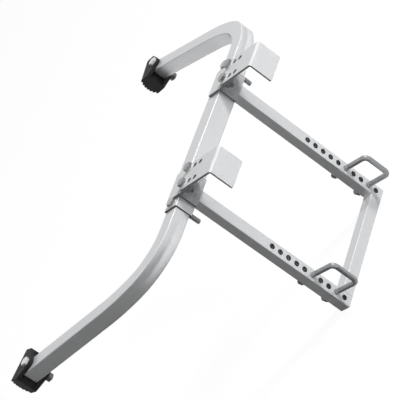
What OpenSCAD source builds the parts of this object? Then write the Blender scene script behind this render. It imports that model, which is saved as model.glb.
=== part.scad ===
// Ladder stabiliser: a welded U-frame that hooks on a ladder's rungs, with two bent arms
// whose swivelling rubber feet rest on the wall.
// +X runs along the sleeve, +Y points to the wall, +Z is up, and the origin is the centre
// of the sleeve's back face. The left side mirrors the right side.

/* [Sleeve] */
// Width of the square sleeve tube
sleeve_w = 38; // [34:1:50]
// Wall of the sleeve tube
sleeve_wall = 2.9; // [2:0.1:4]
// Outer corner radius of the sleeve tube
sleeve_corner = 2.3; // [1:0.1:4]
// Length of the sleeve tube
sleeve_len = 366; // [350:2:500]

/* [Arms] */
// Gap between the sleeve's inside and an arm, on each side
arm_fit = 0.1; // [0.05:0.05:0.4]
// Wall of the arm tube
arm_wall = 2; // [1.5:0.1:3]
// Outer corner radius of the arm tube
arm_corner = 2; // [1:0.1:4]
// Length of the arm inside the sleeve
arm_overlap = 88; // [40:1:150]
// Straight length of the arm between the sleeve and its first bend
arm_lead = 42; // [25:1:100]
// Centre-line radius of the first bend
bend_1_r = 112.5; // [80:0.5:160]
// Angle of the first bend
bend_1_angle = 63; // [45:1:70]
// Centre-line radius of the second bend
bend_2_r = 320; // [200:5:400]
// Angle of the second bend
bend_2_angle = 15.7; // [8:0.1:20]
// Straight length of the arm from its last bend to the foot bolt
arm_reach = 225; // [150:1:400]
// Angle between the straight ahead of a foot and the wall's normal at rest
foot_yaw = 10.4; // [5:0.1:15]

/* [U-frame] */
// Width of the square tube of the legs and the crossbar
leg_w = 25; // [22:1:30]
// Wall of the leg and crossbar tube
leg_wall = 2; // [1.5:0.1:3]
// Outer corner radius of the leg and crossbar tube
leg_corner = 1.2; // [0.5:0.1:2]
// Distance of a leg's centre-line outside its bracket's
leg_offset = 2.3; // [0:0.1:6]
// Length of a leg below the sleeve
leg_len = 370.6; // [340:0.2:500]
// Pitch of the cross holes in a leg
hole_pitch = 20; // [18:1:24]
// Number of cross holes in a leg
hole_count = 10; // [9:1:12]
// Height of the lowest cross hole above the leg's lower end
hole_foot = 17.4; // [16:0.2:30]
// Leg size of the fillet welds
weld = 3.5; // [2:0.5:4]

/* [Brackets] */
// Width of a bracket plate along the sleeve
bracket_w = 64; // [60:1:80]
// Gap between a bracket plate and the through bolt's washer
bracket_gap = 2; // [1:0.5:6]
// Thickness of the top plate
top_plate_t = 5; // [3:0.5:8]
// Length of the top plate on the sleeve, from the sleeve's back face
top_plate_front = 31; // [24:1:34]
// Length of the shelf behind the sleeve's back face
shelf_back = 38; // [34:1:60]
// Thickness of the back plate
back_plate_t = 5; // [3:0.5:6]

/* [Hook plates] */
// Thickness of the hook plate
hook_t = 4; // [3:0.5:6]
// Width of the hook plate along the sleeve
hook_w = 63; // [58:1:70]
// Distance of the hook plate's front edge behind the sleeve's back face
hook_front = 12.6; // [10:0.2:15]
// Distance of the hook plate's outer face behind the sleeve's back face
hook_reach = 107; // [90:1:130]
// Height of the hook plate, from its top face to its lower edge
hook_drop = 54; // [40:1:80]
// Outer radius of the hook plate's bend
hook_bend = 5.5; // [5.5:0.5:12]
// Distance between the two hole rows of the hook plate
hook_row_gap = 37; // [30:1:44]
// Pitch of the holes along a row of the hook plate
hook_hole_pitch = 17; // [12:1:18]
// Number of holes in a row of the hook plate
hook_hole_count = 3; // [2:1:3]
// Distance of the hook bolts behind the sleeve's back face
hook_bolt_back = 20; // [19:0.5:23]

/* [M10 fasteners] */
// Shank diameter of the bolts
bolt_d = 10; // [8:1:10]
// Width across the flats of the bolt heads and nuts
hex_af = 17; // [13:1:17]
// Height of the bolt heads
head_h = 6.4; // [5:0.2:8]
// Height of the nuts
nut_h = 8; // [6:0.2:10]
// Outer diameter of the washers
washer_d = 20; // [18:0.5:20]
// Thickness of the washers
washer_t = 2; // [1:0.2:2.6]
// Bevel at the end of a thread
thread_chamfer = 1; // [0.5:0.1:1.5]
// Gap between a bolt's shank and its hole, on each side
bolt_clear = 0.25; // [0.1:0.05:0.5]
// Shank length of the hook bolts
hook_bolt_len = 25; // [23:1:35]
// Shank length of the through bolts
through_bolt_len = 64; // [56:1:80]
// Outer diameter of the through bolts' washers
through_washer_d = 18; // [17:0.5:20]
// Distance of the through bolts from the sleeve's ends
through_bolt_inset = 9; // [9:0.5:20]
// Distance of the through bolts in front of the sleeve's back face
through_bolt_y = 14; // [13:0.5:24]
// Diameter of the threaded insert in the sleeve's lower wall
insert_d = 13; // [12:0.5:15]
// Diameter of the insert's flange
insert_flange_d = 16; // [15:0.5:20]
// Thickness of the insert's flange
insert_flange_t = 1; // [0.6:0.2:2]
// Shank length of the foot bolts
foot_bolt_len = 60; // [59:1:80]

/* [U-bolts] */
// Diameter of the U-bolt rod
rod_d = 11; // [8:0.5:11.5]
// Running gap between the rod and its holes, on each side
rod_fit = 0.1; // [0.05:0.05:0.1]
// Number of hole pitches that the U-bolt spans
u_span = 3; // [3:1:4]
// Which hole, counted down from the top, holds the U-bolt's upper end
u_hole = 6; // [2:1:6]
// Distance of the far bar's centre behind the leg's back face
u_depth = 61; // [45:1:80]
// Centre-line radius of the U-bolt's corners
u_corner = 11; // [8:0.5:18]
// Length of the rod's end in front of the leg
u_tail = 16.5; // [12:0.5:30]
// Width across the flats of the U-bolt nuts
u_nut_af = 17; // [17:0.5:18]
// Height of the U-bolt nuts
u_nut_h = 8; // [6:0.5:9]

/* [Feet] */
// Width of a foot along the wall
foot_w = 69; // [56:1:80]
// Distance from the foot bolt to the foot's back face
foot_back = 12.5; // [12.5:0.1:16]
// Distance from the foot bolt to the top of the sole
foot_sole = 44; // [38:1:55]
// Thickness of a foot's ears
ear_t = 7.8; // [5:0.2:10]
// Radius of the ears round the foot bolt
ear_r = 13; // [12:0.5:16]
// Gap between an ear and the arm
ear_gap = 0.2; // [0.1:0.1:0.4]
// Running gap between the foot bolt and the ears, on each side
pivot_fit = 0.05; // [0.02:0.01:0.1]
// Distance from the foot bolt to the arm's mitred end
mitre_end = 8.6; // [7:0.1:9]
// Radius of the sole's curve
sole_r = 35; // [32:1:60]
// Pitch of the sole's ridges
ridge_pitch = 7; // [6:0.5:10]
// Depth of the grooves between the ridges
ridge_depth = 2; // [1:0.5:3]
// Width of a ridge's land
ridge_land = 3; // [2:0.5:4]

/* [Hidden] */
$fn = 48;

// Colours, as the photograph shows them
aluminium = [0.84, 0.84, 0.85];
zinc = [0.72, 0.73, 0.75];
rubber = [0.12, 0.12, 0.12];

// Overlap that lets a cut run past the face it opens
cut = 1;

// Tubes
sleeve_top = sleeve_w / 2;
tube_y = sleeve_w / 2;
arm_w = sleeve_w - 2 * sleeve_wall - 2 * arm_fit;
arm_start = sleeve_len / 2 - arm_overlap;
bend_start = sleeve_len / 2 + arm_lead;
arm_heading = bend_1_angle + bend_2_angle;

// Points on the arm's centre-line: the ends of the two bends and the foot bolt
bend_1_end = [bend_start, tube_y] + bend_1_r * [sin(bend_1_angle), 1 - cos(bend_1_angle)];
bend_2_end = bend_1_end
    + bend_2_r * [sin(arm_heading) - sin(bend_1_angle), cos(bend_1_angle) - cos(arm_heading)];
foot_pivot = bend_2_end + arm_reach * [cos(arm_heading), sin(arm_heading)];

// Straight pieces that each bend and each round corner of the arm's surface is made of
bend_1_steps = 24;
bend_2_steps = 6;
corner_steps = 4;

// Places along the arm's centre-line, each with its heading, up to a cut end past the foot bolt
arm_path = [
    [[arm_start, tube_y], 0],
    for (i = [0 : bend_1_steps])
        let (a = bend_1_angle * i / bend_1_steps)
            [[bend_start, tube_y] + bend_1_r * [sin(a), 1 - cos(a)], a],
    for (i = [1 : bend_2_steps])
        let (a = bend_1_angle + bend_2_angle * i / bend_2_steps)
            [bend_1_end + bend_2_r * [sin(a) - sin(bend_1_angle), cos(bend_1_angle) - cos(a)], a],
    [foot_pivot + arm_w * [cos(arm_heading), sin(arm_heading)], arm_heading]
];

// Places along the sleeve, from its ends inwards: through bolts, brackets and legs
through_bolt_x = sleeve_len / 2 - through_bolt_inset;
bracket_x = through_bolt_x - through_washer_d / 2 - bracket_gap - bracket_w / 2;
leg_x = bracket_x + leg_offset;

// Legs
leg_y = leg_w / 2;
leg_bottom = -sleeve_top - leg_len;
top_hole = leg_bottom + hole_foot + (hole_count - 1) * hole_pitch;
crossbar_len = 2 * leg_x - leg_w;

// Brackets and hook plates
shelf_top = sleeve_top + top_plate_t;
hook_top = shelf_top + hook_t;
bolt_hole_d = bolt_d + 2 * bolt_clear;

// U-bolts
rod_hole_d = rod_d + 2 * rod_fit;
u_top = top_hole - (u_hole - 1) * hole_pitch;
u_height = u_span * hole_pitch;
u_washer_d = hole_pitch;

// Feet
foot_h = arm_w + 2 * (ear_gap + ear_t);
pivot_hole_d = bolt_d + 2 * pivot_fit;
ridge_count = 2 * floor((foot_h / 2 - ridge_land / 2) / ridge_pitch) + 1;

// Square with round corners, centred, made of true arcs
module round_square(w, r) {
    square([w, w - 2 * r], center = true);
    square([w - 2 * r, w], center = true);
    for (x = [-1, 1], y = [-1, 1])
        translate([x, y] * (w / 2 - r)) circle(r = r);
}

// Section of a square tube
module tube_section(w, wall, corner) {
    difference() {
        round_square(w, corner);
        square(w - 2 * wall, center = true);
    }
}

// Lays an extrusion along +X
module along_x() {
    rotate([90, 0, 90]) children();
}

// Shows a right-hand piece on the left
module on_left() {
    mirror([1, 0, 0]) children();
}

// Hexagonal prism whose flats face +X and -X
module hexagon(af, h) {
    rotate([0, 0, 30]) cylinder(d = af / cos(30), h = h, $fn = 6);
}

// Hexagonal prism with its upper or lower corners turned off by a cone
module hex_block(af, h) {
    corner_d = af / cos(30);
    chamfer_h = (corner_d - af) / 4;
    intersection() {
        hexagon(af, h);
        union() {
            cylinder(d = corner_d + cut, h = h - chamfer_h);
            translate([0, 0, h - chamfer_h]) cylinder(d1 = corner_d, d2 = af, h = chamfer_h);
        }
    }
}

// Bolt whose head sits on z = 0 and whose shank runs down
module bolt(shank_len) {
    hex_block(hex_af, head_h);
    translate([0, 0, thread_chamfer - shank_len]) cylinder(d = bolt_d, h = shank_len - thread_chamfer);
    translate([0, 0, -shank_len])
        cylinder(d1 = bolt_d - 2 * thread_chamfer, d2 = bolt_d, h = thread_chamfer);
}

// Washer from z = 0 up
module washer(d, bore, t) {
    difference() {
        cylinder(d = d, h = t);
        translate([0, 0, -cut]) cylinder(d = bore, h = t + 2 * cut);
    }
}

// Nut from z = 0 up
module nut(af, bore, h) {
    difference() {
        hex_block(af, h);
        translate([0, 0, -cut]) cylinder(d = bore, h = h + 2 * cut);
    }
}

// Central tube that takes both arms
module sleeve_tube() {
    color(aluminium)
        difference() {
            translate([-sleeve_len / 2, tube_y, 0])
                along_x() linear_extrude(sleeve_len) tube_section(sleeve_w, sleeve_wall, sleeve_corner);
            for (side = [-1, 1])
                translate([side * through_bolt_x, through_bolt_y, 0]) {
                    cylinder(d = bolt_hole_d, h = sleeve_w);
                    translate([0, 0, -sleeve_w]) cylinder(d = insert_d, h = sleeve_w);
                }
        }
}

// Points round a square with round corners, counter-clockwise
function round_square_points(w, r) = [
    for (quarter = [0 : 3], i = [0 : corner_steps])
        let (a = 90 * (quarter + i / corner_steps), middle = 90 * quarter + 45)
            (w / 2 - r) * sqrt(2) * [cos(middle), sin(middle)] + r * [cos(a), sin(a)]
];

// Points of a section, set square across each place of a path
function swept_points(path, section) = [
    for (place = path, p = section)
        [place[0].x - p.x * sin(place[1]), place[0].y + p.x * cos(place[1]), p.y]
];

// Square tube swept along a path, as one closed skin: outside, inside and two end rings
module swept_tube(path, w, wall, corner) {
    outside = round_square_points(w, corner);
    inside = round_square_points(w - 2 * wall, max(corner - wall, corner / 4));
    n = len(outside);
    last = len(path) - 1;
    inner = n * len(path);
    polyhedron(
        points = concat(swept_points(path, outside), swept_points(path, inside)),
        faces = [
            for (k = [0 : last - 1], i = [0 : n - 1])
                let (j = (i + 1) % n, a = k * n, b = a + n)
                    each [
                        [a + i, b + j, a + j], [a + i, b + i, b + j],
                        [inner + a + i, inner + a + j, inner + b + j],
                        [inner + a + i, inner + b + j, inner + b + i]
                    ],
            for (i = [0 : n - 1])
                let (j = (i + 1) % n, end = last * n)
                    each [
                        [i, j, inner + j], [i, inner + j, inner + i],
                        [end + i, inner + end + j, end + j], [end + i, inner + end + i, inner + end + j]
                    ]
        ]
    );
}

// Places a piece on the right foot's bolt, with +X straight ahead of the foot at rest
module at_foot() {
    translate([foot_pivot.x, foot_pivot.y, 0]) rotate([0, 0, 90 + foot_yaw]) children();
}

// Arm with its bolt holes, mitred in front of the foot bolt
module arm() {
    color(aluminium)
        difference() {
            swept_tube(arm_path, arm_w, arm_wall, arm_corner);
            translate([through_bolt_x, through_bolt_y, -arm_w]) cylinder(d = bolt_hole_d, h = 2 * arm_w);
            at_foot() {
                translate([0, 0, -arm_w]) cylinder(d = pivot_hole_d, h = 2 * arm_w);
                translate([mitre_end, -2 * arm_w, -arm_w]) cube([3 * arm_w, 4 * arm_w, 2 * arm_w]);
            }
        }
}

module arm_right() { arm(); }
module arm_left() { on_left() arm(); }

// Leg of the U-frame with its row of cross holes
module leg() {
    color(aluminium)
        difference() {
            translate([leg_x, leg_y, leg_bottom])
                linear_extrude(leg_len) tube_section(leg_w, leg_wall, leg_corner);
            for (i = [0 : hole_count - 1])
                translate([leg_x, leg_w + cut, top_hole - i * hole_pitch])
                    rotate([90, 0, 0]) cylinder(d = rod_hole_d, h = leg_w + 2 * cut);
        }
}

module leg_right() { leg(); }
module leg_left() { on_left() leg(); }

// Tube between the lower ends of the legs
module crossbar() {
    color(aluminium)
        translate([-crossbar_len / 2, leg_y, leg_bottom + leg_w / 2])
            along_x() linear_extrude(crossbar_len) tube_section(leg_w, leg_wall, leg_corner);
}

// Fillet weld along +X in the corner between +Y and +Z faces
module weld_bead(run) {
    along_x() linear_extrude(run) polygon([[0, 0], [weld, 0], [0, weld]]);
}

// Fillet welds round the top of a leg, on its inner end of the crossbar and under the shelf
module weld_beads() {
    plate_run = bracket_w - 2 * weld;
    color(aluminium) {
        translate([leg_x - leg_w / 2, leg_w, -sleeve_top]) mirror([0, 0, 1]) weld_bead(leg_w);
        for (side = [-1, 1])
            translate([leg_x + side * leg_w / 2, sleeve_corner, -sleeve_top])
                rotate([0, 0, 90]) mirror([0, side > 0 ? 1 : 0, 0]) mirror([0, 0, 1])
                    weld_bead(leg_w - sleeve_corner);
        translate([leg_x - leg_w / 2, leg_corner, leg_bottom + leg_w])
            rotate([0, 0, 90]) weld_bead(leg_w - 2 * leg_corner);
        translate([bracket_x - plate_run / 2, -back_plate_t, sleeve_top])
            mirror([0, 1, 0]) mirror([0, 0, 1]) weld_bead(plate_run);
    }
}

module weld_beads_right() { weld_beads(); }
module weld_beads_left() { on_left() weld_beads(); }

// Cylinders through the hook plate's rows, of as many holes a row as asked for
module hook_holes(count) {
    for (row = [-1, 1], i = [0 : count - 1])
        translate([bracket_x + row * hook_row_gap / 2, -hook_bolt_back - i * hook_hole_pitch, 0])
            cylinder(d = bolt_hole_d, h = hook_top + cut);
}

// Plate on top of the sleeve that reaches back as a shelf
module top_plate() {
    color(aluminium)
        difference() {
            translate([bracket_x - bracket_w / 2, -shelf_back, sleeve_top])
                cube([bracket_w, shelf_back + top_plate_front, top_plate_t]);
            hook_holes(1);
        }
}

module top_plate_right() { top_plate(); }
module top_plate_left() { on_left() top_plate(); }

// Plate on the sleeve's back face, under the shelf
module back_plate() {
    color(aluminium)
        translate([bracket_x - bracket_w / 2, -back_plate_t, -sleeve_top])
            cube([bracket_w, back_plate_t, sleeve_w]);
}

module back_plate_right() { back_plate(); }
module back_plate_left() { on_left() back_plate(); }

// Side view of the hook plate: a flat strip, a round bend and a strip down, with +X to the back
module hook_profile() {
    translate([hook_front, hook_top - hook_t]) square([hook_reach - hook_bend - hook_front, hook_t]);
    translate([hook_reach - hook_t, hook_top - hook_drop]) square([hook_t, hook_drop - hook_bend]);
    intersection() {
        translate([hook_reach - hook_bend, hook_top - hook_bend])
            difference() {
                circle(r = hook_bend);
                circle(r = hook_bend - hook_t);
            }
        translate([hook_reach - hook_bend, hook_top - hook_bend]) square(hook_bend);
    }
}

// L-shaped plate that hooks over a rung
module hook_plate() {
    color(aluminium)
        difference() {
            translate([bracket_x + hook_w / 2, 0, 0])
                mirror([1, 0, 0]) mirror([0, 1, 0]) along_x() linear_extrude(hook_w) hook_profile();
            hook_holes(hook_hole_count);
        }
}

module hook_plate_right() { hook_plate(); }
module hook_plate_left() { on_left() hook_plate(); }

// Places a piece on both hook bolts, at a height
module at_hook_bolts(z) {
    for (row = [-1, 1])
        translate([bracket_x + row * hook_row_gap / 2, -hook_bolt_back, z]) children();
}

module hook_bolts() { color(zinc) at_hook_bolts(hook_top + washer_t) bolt(hook_bolt_len); }
module hook_bolts_right() { hook_bolts(); }
module hook_bolts_left() { on_left() hook_bolts(); }

module hook_washers() { color(zinc) at_hook_bolts(hook_top) washer(washer_d, bolt_hole_d, washer_t); }
module hook_washers_right() { hook_washers(); }
module hook_washers_left() { on_left() hook_washers(); }

module hook_nuts() { color(zinc) at_hook_bolts(sleeve_top) mirror([0, 0, 1]) nut(hex_af, bolt_d, nut_h); }
module hook_nuts_right() { hook_nuts(); }
module hook_nuts_left() { on_left() hook_nuts(); }

// Places a piece on the bolt through the sleeve and the arm, at a height
module at_through_bolt(z) {
    translate([through_bolt_x, through_bolt_y, z]) children();
}

module through_bolt() { color(zinc) at_through_bolt(sleeve_top + washer_t) bolt(through_bolt_len); }
module through_bolt_right() { through_bolt(); }
module through_bolt_left() { on_left() through_bolt(); }

module through_washer() {
    color(zinc) at_through_bolt(sleeve_top) washer(through_washer_d, bolt_hole_d, washer_t);
}
module through_washer_right() { through_washer(); }
module through_washer_left() { on_left() through_washer(); }

// Threaded insert that fills the hole in the sleeve's lower wall, with a flange under the wall
module through_insert() {
    color(zinc)
        at_through_bolt(-sleeve_top - insert_flange_t)
            difference() {
                union() {
                    cylinder(d = insert_d, h = insert_flange_t + sleeve_wall);
                    cylinder(d = insert_flange_d, h = insert_flange_t);
                }
                translate([0, 0, -cut]) cylinder(d = bolt_d, h = sleeve_w);
            }
}
module through_insert_right() { through_insert(); }
module through_insert_left() { on_left() through_insert(); }

// Rod of a U-bolt: two legs through the tube, two round corners and the far bar
module u_bolt() {
    leg_run = u_depth - u_corner + leg_w + u_tail;
    color(zinc) {
        for (z = [u_top, u_top - u_height])
            translate([leg_x, leg_w + u_tail - thread_chamfer, z]) {
                rotate([90, 0, 0]) cylinder(d = rod_d, h = leg_run - thread_chamfer);
                rotate([-90, 0, 0]) cylinder(d1 = rod_d, d2 = rod_d - 2 * thread_chamfer, h = thread_chamfer);
            }
        translate([leg_x, u_corner - u_depth, u_top - u_corner])
            rotate([0, -90, 0]) rotate([0, 0, -90]) u_bolt_corner();
        translate([leg_x, u_corner - u_depth, u_top - u_height + u_corner])
            rotate([0, -90, 0]) rotate([0, 0, 180]) u_bolt_corner();
        translate([leg_x, -u_depth, u_top - u_height + u_corner])
            cylinder(d = rod_d, h = u_height - 2 * u_corner);
    }
}

// Quarter of a ring, one round corner of the U-bolt
module u_bolt_corner() {
    rotate_extrude(angle = 90) translate([u_corner, 0]) circle(d = rod_d);
}

module u_bolt_right() { u_bolt(); }
module u_bolt_left() { on_left() u_bolt(); }

// Places a piece on both ends of the U-bolt in front of the leg, with +Z along the rod
module at_u_ends(y) {
    for (z = [u_top, u_top - u_height])
        translate([leg_x, y, z]) rotate([-90, 0, 0]) children();
}

module u_washers() { color(zinc) at_u_ends(leg_w) washer(u_washer_d, rod_hole_d, washer_t); }
module u_washers_right() { u_washers(); }
module u_washers_left() { on_left() u_washers(); }

module u_nuts() { color(zinc) at_u_ends(leg_w + washer_t) nut(u_nut_af, rod_d, u_nut_h); }
module u_nuts_right() { u_nuts(); }
module u_nuts_left() { on_left() u_nuts(); }

// Height of the sole's curve above the foot bolt, at a distance from its middle
function sole_at(z) = foot_sole - sole_r + sqrt(pow(sole_r, 2) - pow(z, 2));

// Corners of one ridge of the sole, with a sloped flank on each side of its land
function ridge(z) = [
    [sole_at(z) - ridge_depth, z - ridge_land / 2 - ridge_depth / 2],
    [sole_at(z), z - ridge_land / 2],
    [sole_at(z), z + ridge_land / 2],
    [sole_at(z) - ridge_depth, z + ridge_land / 2 + ridge_depth / 2]
];

// Side view of the block: a flat back and the ridged curve of the sole
module foot_profile() {
    sole = [for (i = [0 : ridge_count - 1]) each ridge((i - (ridge_count - 1) / 2) * ridge_pitch)];
    polygon(concat(
        [[foot_back, foot_h / 2], [foot_back, -foot_h / 2], [sole_at(foot_h / 2) - ridge_depth, -foot_h / 2]],
        sole,
        [[sole_at(foot_h / 2) - ridge_depth, foot_h / 2]]
    ));
}

// Plan of an ear: it narrows from the block's full width to a round end at the bolt
module ear_plan() {
    tangent = atan2(foot_w / 2, foot_back) + acos(ear_r / norm([foot_back, foot_w / 2]));
    tangent_x = ear_r * cos(tangent);
    tangent_y = ear_r * sin(tangent);
    circle(r = ear_r);
    polygon([
        [foot_back, -foot_w / 2], [foot_back, foot_w / 2], [tangent_x, tangent_y], [tangent_x, -tangent_y]
    ]);
}

// Rubber block with two ears, turning on the foot bolt
module rubber_foot() {
    color(rubber)
        at_foot()
            difference() {
                union() {
                    translate([0, foot_w / 2, 0]) rotate([90, 0, 0]) linear_extrude(foot_w) foot_profile();
                    for (z = [-foot_h / 2, foot_h / 2 - ear_t])
                        translate([0, 0, z]) linear_extrude(ear_t) ear_plan();
                }
                translate([0, 0, -foot_h]) cylinder(d = pivot_hole_d, h = 2 * foot_h);
            }
}

module rubber_foot_right() { rubber_foot(); }
module rubber_foot_left() { on_left() rubber_foot(); }

module foot_bolt() { color(zinc) at_foot() translate([0, 0, foot_h / 2]) bolt(foot_bolt_len); }
module foot_bolt_right() { foot_bolt(); }
module foot_bolt_left() { on_left() foot_bolt(); }

module foot_washer() {
    color(zinc)
        at_foot() translate([0, 0, -foot_h / 2 - washer_t]) washer(washer_d, bolt_hole_d, washer_t);
}
module foot_washer_right() { foot_washer(); }
module foot_washer_left() { on_left() foot_washer(); }

module foot_nut() {
    color(zinc)
        at_foot() translate([0, 0, -foot_h / 2 - washer_t]) mirror([0, 0, 1]) nut(hex_af, bolt_d, nut_h);
}
module foot_nut_right() { foot_nut(); }
module foot_nut_left() { on_left() foot_nut(); }

sleeve_tube();
arm_right();
arm_left();
leg_right();
leg_left();
crossbar();
weld_beads_right();
weld_beads_left();
top_plate_right();
top_plate_left();
back_plate_right();
back_plate_left();
hook_plate_right();
hook_plate_left();
hook_bolts_right();
hook_bolts_left();
hook_washers_right();
hook_washers_left();
hook_nuts_right();
hook_nuts_left();
through_bolt_right();
through_bolt_left();
through_washer_right();
through_washer_left();
through_insert_right();
through_insert_left();
u_bolt_right();
u_bolt_left();
u_washers_right();
u_washers_left();
u_nuts_right();
u_nuts_left();
rubber_foot_right();
rubber_foot_left();
foot_bolt_right();
foot_bolt_left();
foot_washer_right();
foot_washer_left();
foot_nut_right();
foot_nut_left();
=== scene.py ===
"""Looks of a ladder stabiliser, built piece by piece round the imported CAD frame.

The classes hold their sizes in millimetres, in the CAD frame: +X runs along the sleeve, +Y
points to the wall and +Z is up. The left side mirrors the right side.
"""

import logging
import math
from collections.abc import Callable, Sequence
from dataclasses import dataclass, field
from enum import Enum, IntEnum
from typing import ClassVar

import bmesh
import bpy
from mathutils import Matrix, Vector


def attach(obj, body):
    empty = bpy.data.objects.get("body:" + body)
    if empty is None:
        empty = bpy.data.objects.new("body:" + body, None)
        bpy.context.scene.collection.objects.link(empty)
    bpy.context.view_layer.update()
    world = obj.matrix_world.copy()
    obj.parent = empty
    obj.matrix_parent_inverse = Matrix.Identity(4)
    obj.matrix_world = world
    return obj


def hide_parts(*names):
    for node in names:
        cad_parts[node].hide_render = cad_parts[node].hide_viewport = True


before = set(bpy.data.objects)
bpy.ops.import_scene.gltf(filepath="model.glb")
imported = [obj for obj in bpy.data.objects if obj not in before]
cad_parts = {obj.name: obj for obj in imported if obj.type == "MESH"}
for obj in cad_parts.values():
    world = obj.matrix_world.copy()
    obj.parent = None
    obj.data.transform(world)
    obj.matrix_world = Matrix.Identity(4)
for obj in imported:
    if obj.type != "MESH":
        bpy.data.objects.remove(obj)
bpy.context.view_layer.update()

MM = 0.001
X, Y, Z = Vector((1, 0, 0)), Vector((0, 1, 0)), Vector((0, 0, 1))
# Directions to the ladder and to the ground
FRONT, DOWN = Vector((0, -1, 0)), Vector((0, 0, -1))
# Faces that turn by more than this meet in a sharp edge
SHARP_ANGLE = math.radians(32)
# Faces that turn by less than this are one, and so are points that lie nearer than this
FLAT_ANGLE = math.radians(0.5)
SAME_POINT = 1e-4
# Half the sleeve's width, from which its neighbours take their places
SLEEVE_HALF = 19.0
# How far a cutting tool stands out of what it cuts
PAST = 1.0
log = logging.getLogger("ladder_stabiliser")

Point = tuple[float, float]
Span = tuple[float, float]
Ring = list[Vector]


class Side(Enum):
    """The two sides of the object, as the sign of X."""

    RIGHT = 1
    LEFT = -1

    @property
    def tag(self) -> str:
        """Word that ends the names of this side's pieces."""
        return self.name.lower()


class Combine(Enum):
    """How one solid changes another."""

    CUT = "DIFFERENCE"
    KEEP_COMMON = "INTERSECT"


class Slot(Enum):
    """The record's material slots."""

    ALUMINIUM = "aluminium"
    ZINC = "zinc_steel"
    RUBBER = "rubber"


class Area(IntEnum):
    """Number of the finish on one kind of a solid's faces."""

    SKIN = 0
    CUT = 1
    DRILLED = 2


def linear(hex_colour: str) -> tuple[float, float, float, float]:
    """Turns an sRGB hex colour to a linear one.

    Args:
        hex_colour: Six hex digits, without a sign.

    Returns:
        Red, green, blue and alpha, from 0 to 1.
    """
    parts = [int(hex_colour[i : i + 2], 16) / 255 for i in (0, 2, 4)]
    red, green, blue = (c / 12.92 if c <= 0.04045 else ((c + 0.055) / 1.055) ** 2.4 for c in parts)
    return red, green, blue, 1.0


WHITE = linear("FFFFFF")


def feed(tree: bpy.types.NodeTree, node: bpy.types.Node, inputs: dict[str | int, object]) -> None:
    """Sets inputs of a node.

    Args:
        tree: Node tree that holds the node.
        node: The node.
        inputs: For each input, a value or the output socket that feeds it.
    """
    for name, value in inputs.items():
        if isinstance(value, bpy.types.NodeSocket):
            tree.links.new(value, node.inputs[name])
        else:
            node.inputs[name].default_value = value


def add_node(
    tree: bpy.types.NodeTree, kind: str, inputs: dict[str | int, object] | None = None,
    **settings: str,
) -> bpy.types.Node:
    """Adds a node with its settings and links.

    Args:
        tree: Node tree that takes the node.
        kind: Blender's name of the node's type.
        inputs: For each input, a value or the output socket that feeds it.
        settings: Values of the node's own properties.

    Returns:
        The new node.
    """
    node = tree.nodes.new(kind)
    for name, value in settings.items():
        setattr(node, name, value)
    feed(tree, node, inputs or {})
    return node


def empty_tree(block: bpy.types.Material | bpy.types.World) -> bpy.types.NodeTree:
    """Switches on the nodes of a material or world and removes them all.

    Args:
        block: The material or world.

    Returns:
        Its empty node tree.
    """
    block.use_nodes = True
    block.node_tree.nodes.clear()
    return block.node_tree


def add_object(name: str, data: bpy.types.ID) -> bpy.types.Object:
    """Makes an object that shows some data and puts it in the scene.

    Args:
        name: Name of the object.
        data: What it shows.

    Returns:
        The new object.
    """
    made = bpy.data.objects.new(name, data)
    bpy.context.scene.collection.objects.link(made)
    return made


@dataclass(frozen=True)
class Finish:
    """What all finishes share: two tones, a roughness and a grain that follow one pattern.

    Attributes:
        name: Material and process.
        light: Colour of the raised or worn spots.
        dark: Colour of the low or fresh spots.
        roughness: Middle roughness of the surface.
        spread: How far the roughness strays from its middle.
        grain_mm: Size of the grain.
        grain_height_mm: Height of the grain.
        TONES: Values of the pattern at which the colour is dark and light.
        SKIN: Values of the pattern at which the surface is roughest and smoothest.
    """

    name: str
    light: str
    dark: str
    roughness: float
    spread: float
    grain_mm: float
    grain_height_mm: float
    TONES: ClassVar[Span] = (0.3, 0.7)
    SKIN: ClassVar[Span] = (0.3, 0.7)

    def pattern(self, tree: bpy.types.NodeTree) -> tuple[bpy.types.NodeSocket, ...]:
        """Makes the nodes that are the finish's own.

        Args:
            tree: Node tree of the material.

        Returns:
            The outputs that steer the colour and the grain.
        """
        raise NotImplementedError

    def values(self) -> dict[str, float]:
        """Even values of the shader."""
        raise NotImplementedError

    def material(self) -> bpy.types.Material:
        """Makes the material, or returns it if it is there already.

        Returns:
            The material.
        """
        made = bpy.data.materials.get(self.name)
        if made:
            return made
        made = bpy.data.materials.new(self.name)
        made.use_nodes = True
        tree = made.node_tree
        tone, grain = self.pattern(tree)
        ramp = add_node(tree, "ShaderNodeValToRGB", {"Fac": tone})
        colours = zip(ramp.color_ramp.elements, self.TONES, (self.dark, self.light))
        for element, place, colour in colours:
            element.position, element.color = place, linear(colour)
        rough = add_node(
            tree, "ShaderNodeMapRange",
            {"Value": grain, "From Min": self.SKIN[0], "From Max": self.SKIN[1],
             "To Min": self.roughness + self.spread, "To Max": self.roughness - self.spread},
        )
        bump = add_node(
            tree, "ShaderNodeBump",
            {"Height": grain, "Distance": self.grain_height_mm * MM, "Strength": 1.0},
        )
        feed(
            tree, tree.nodes["Principled BSDF"],
            {**self.values(), "Base Color": ramp.outputs["Color"],
             "Roughness": rough.outputs["Result"], "Normal": bump.outputs["Normal"]},
        )
        return made


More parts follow.
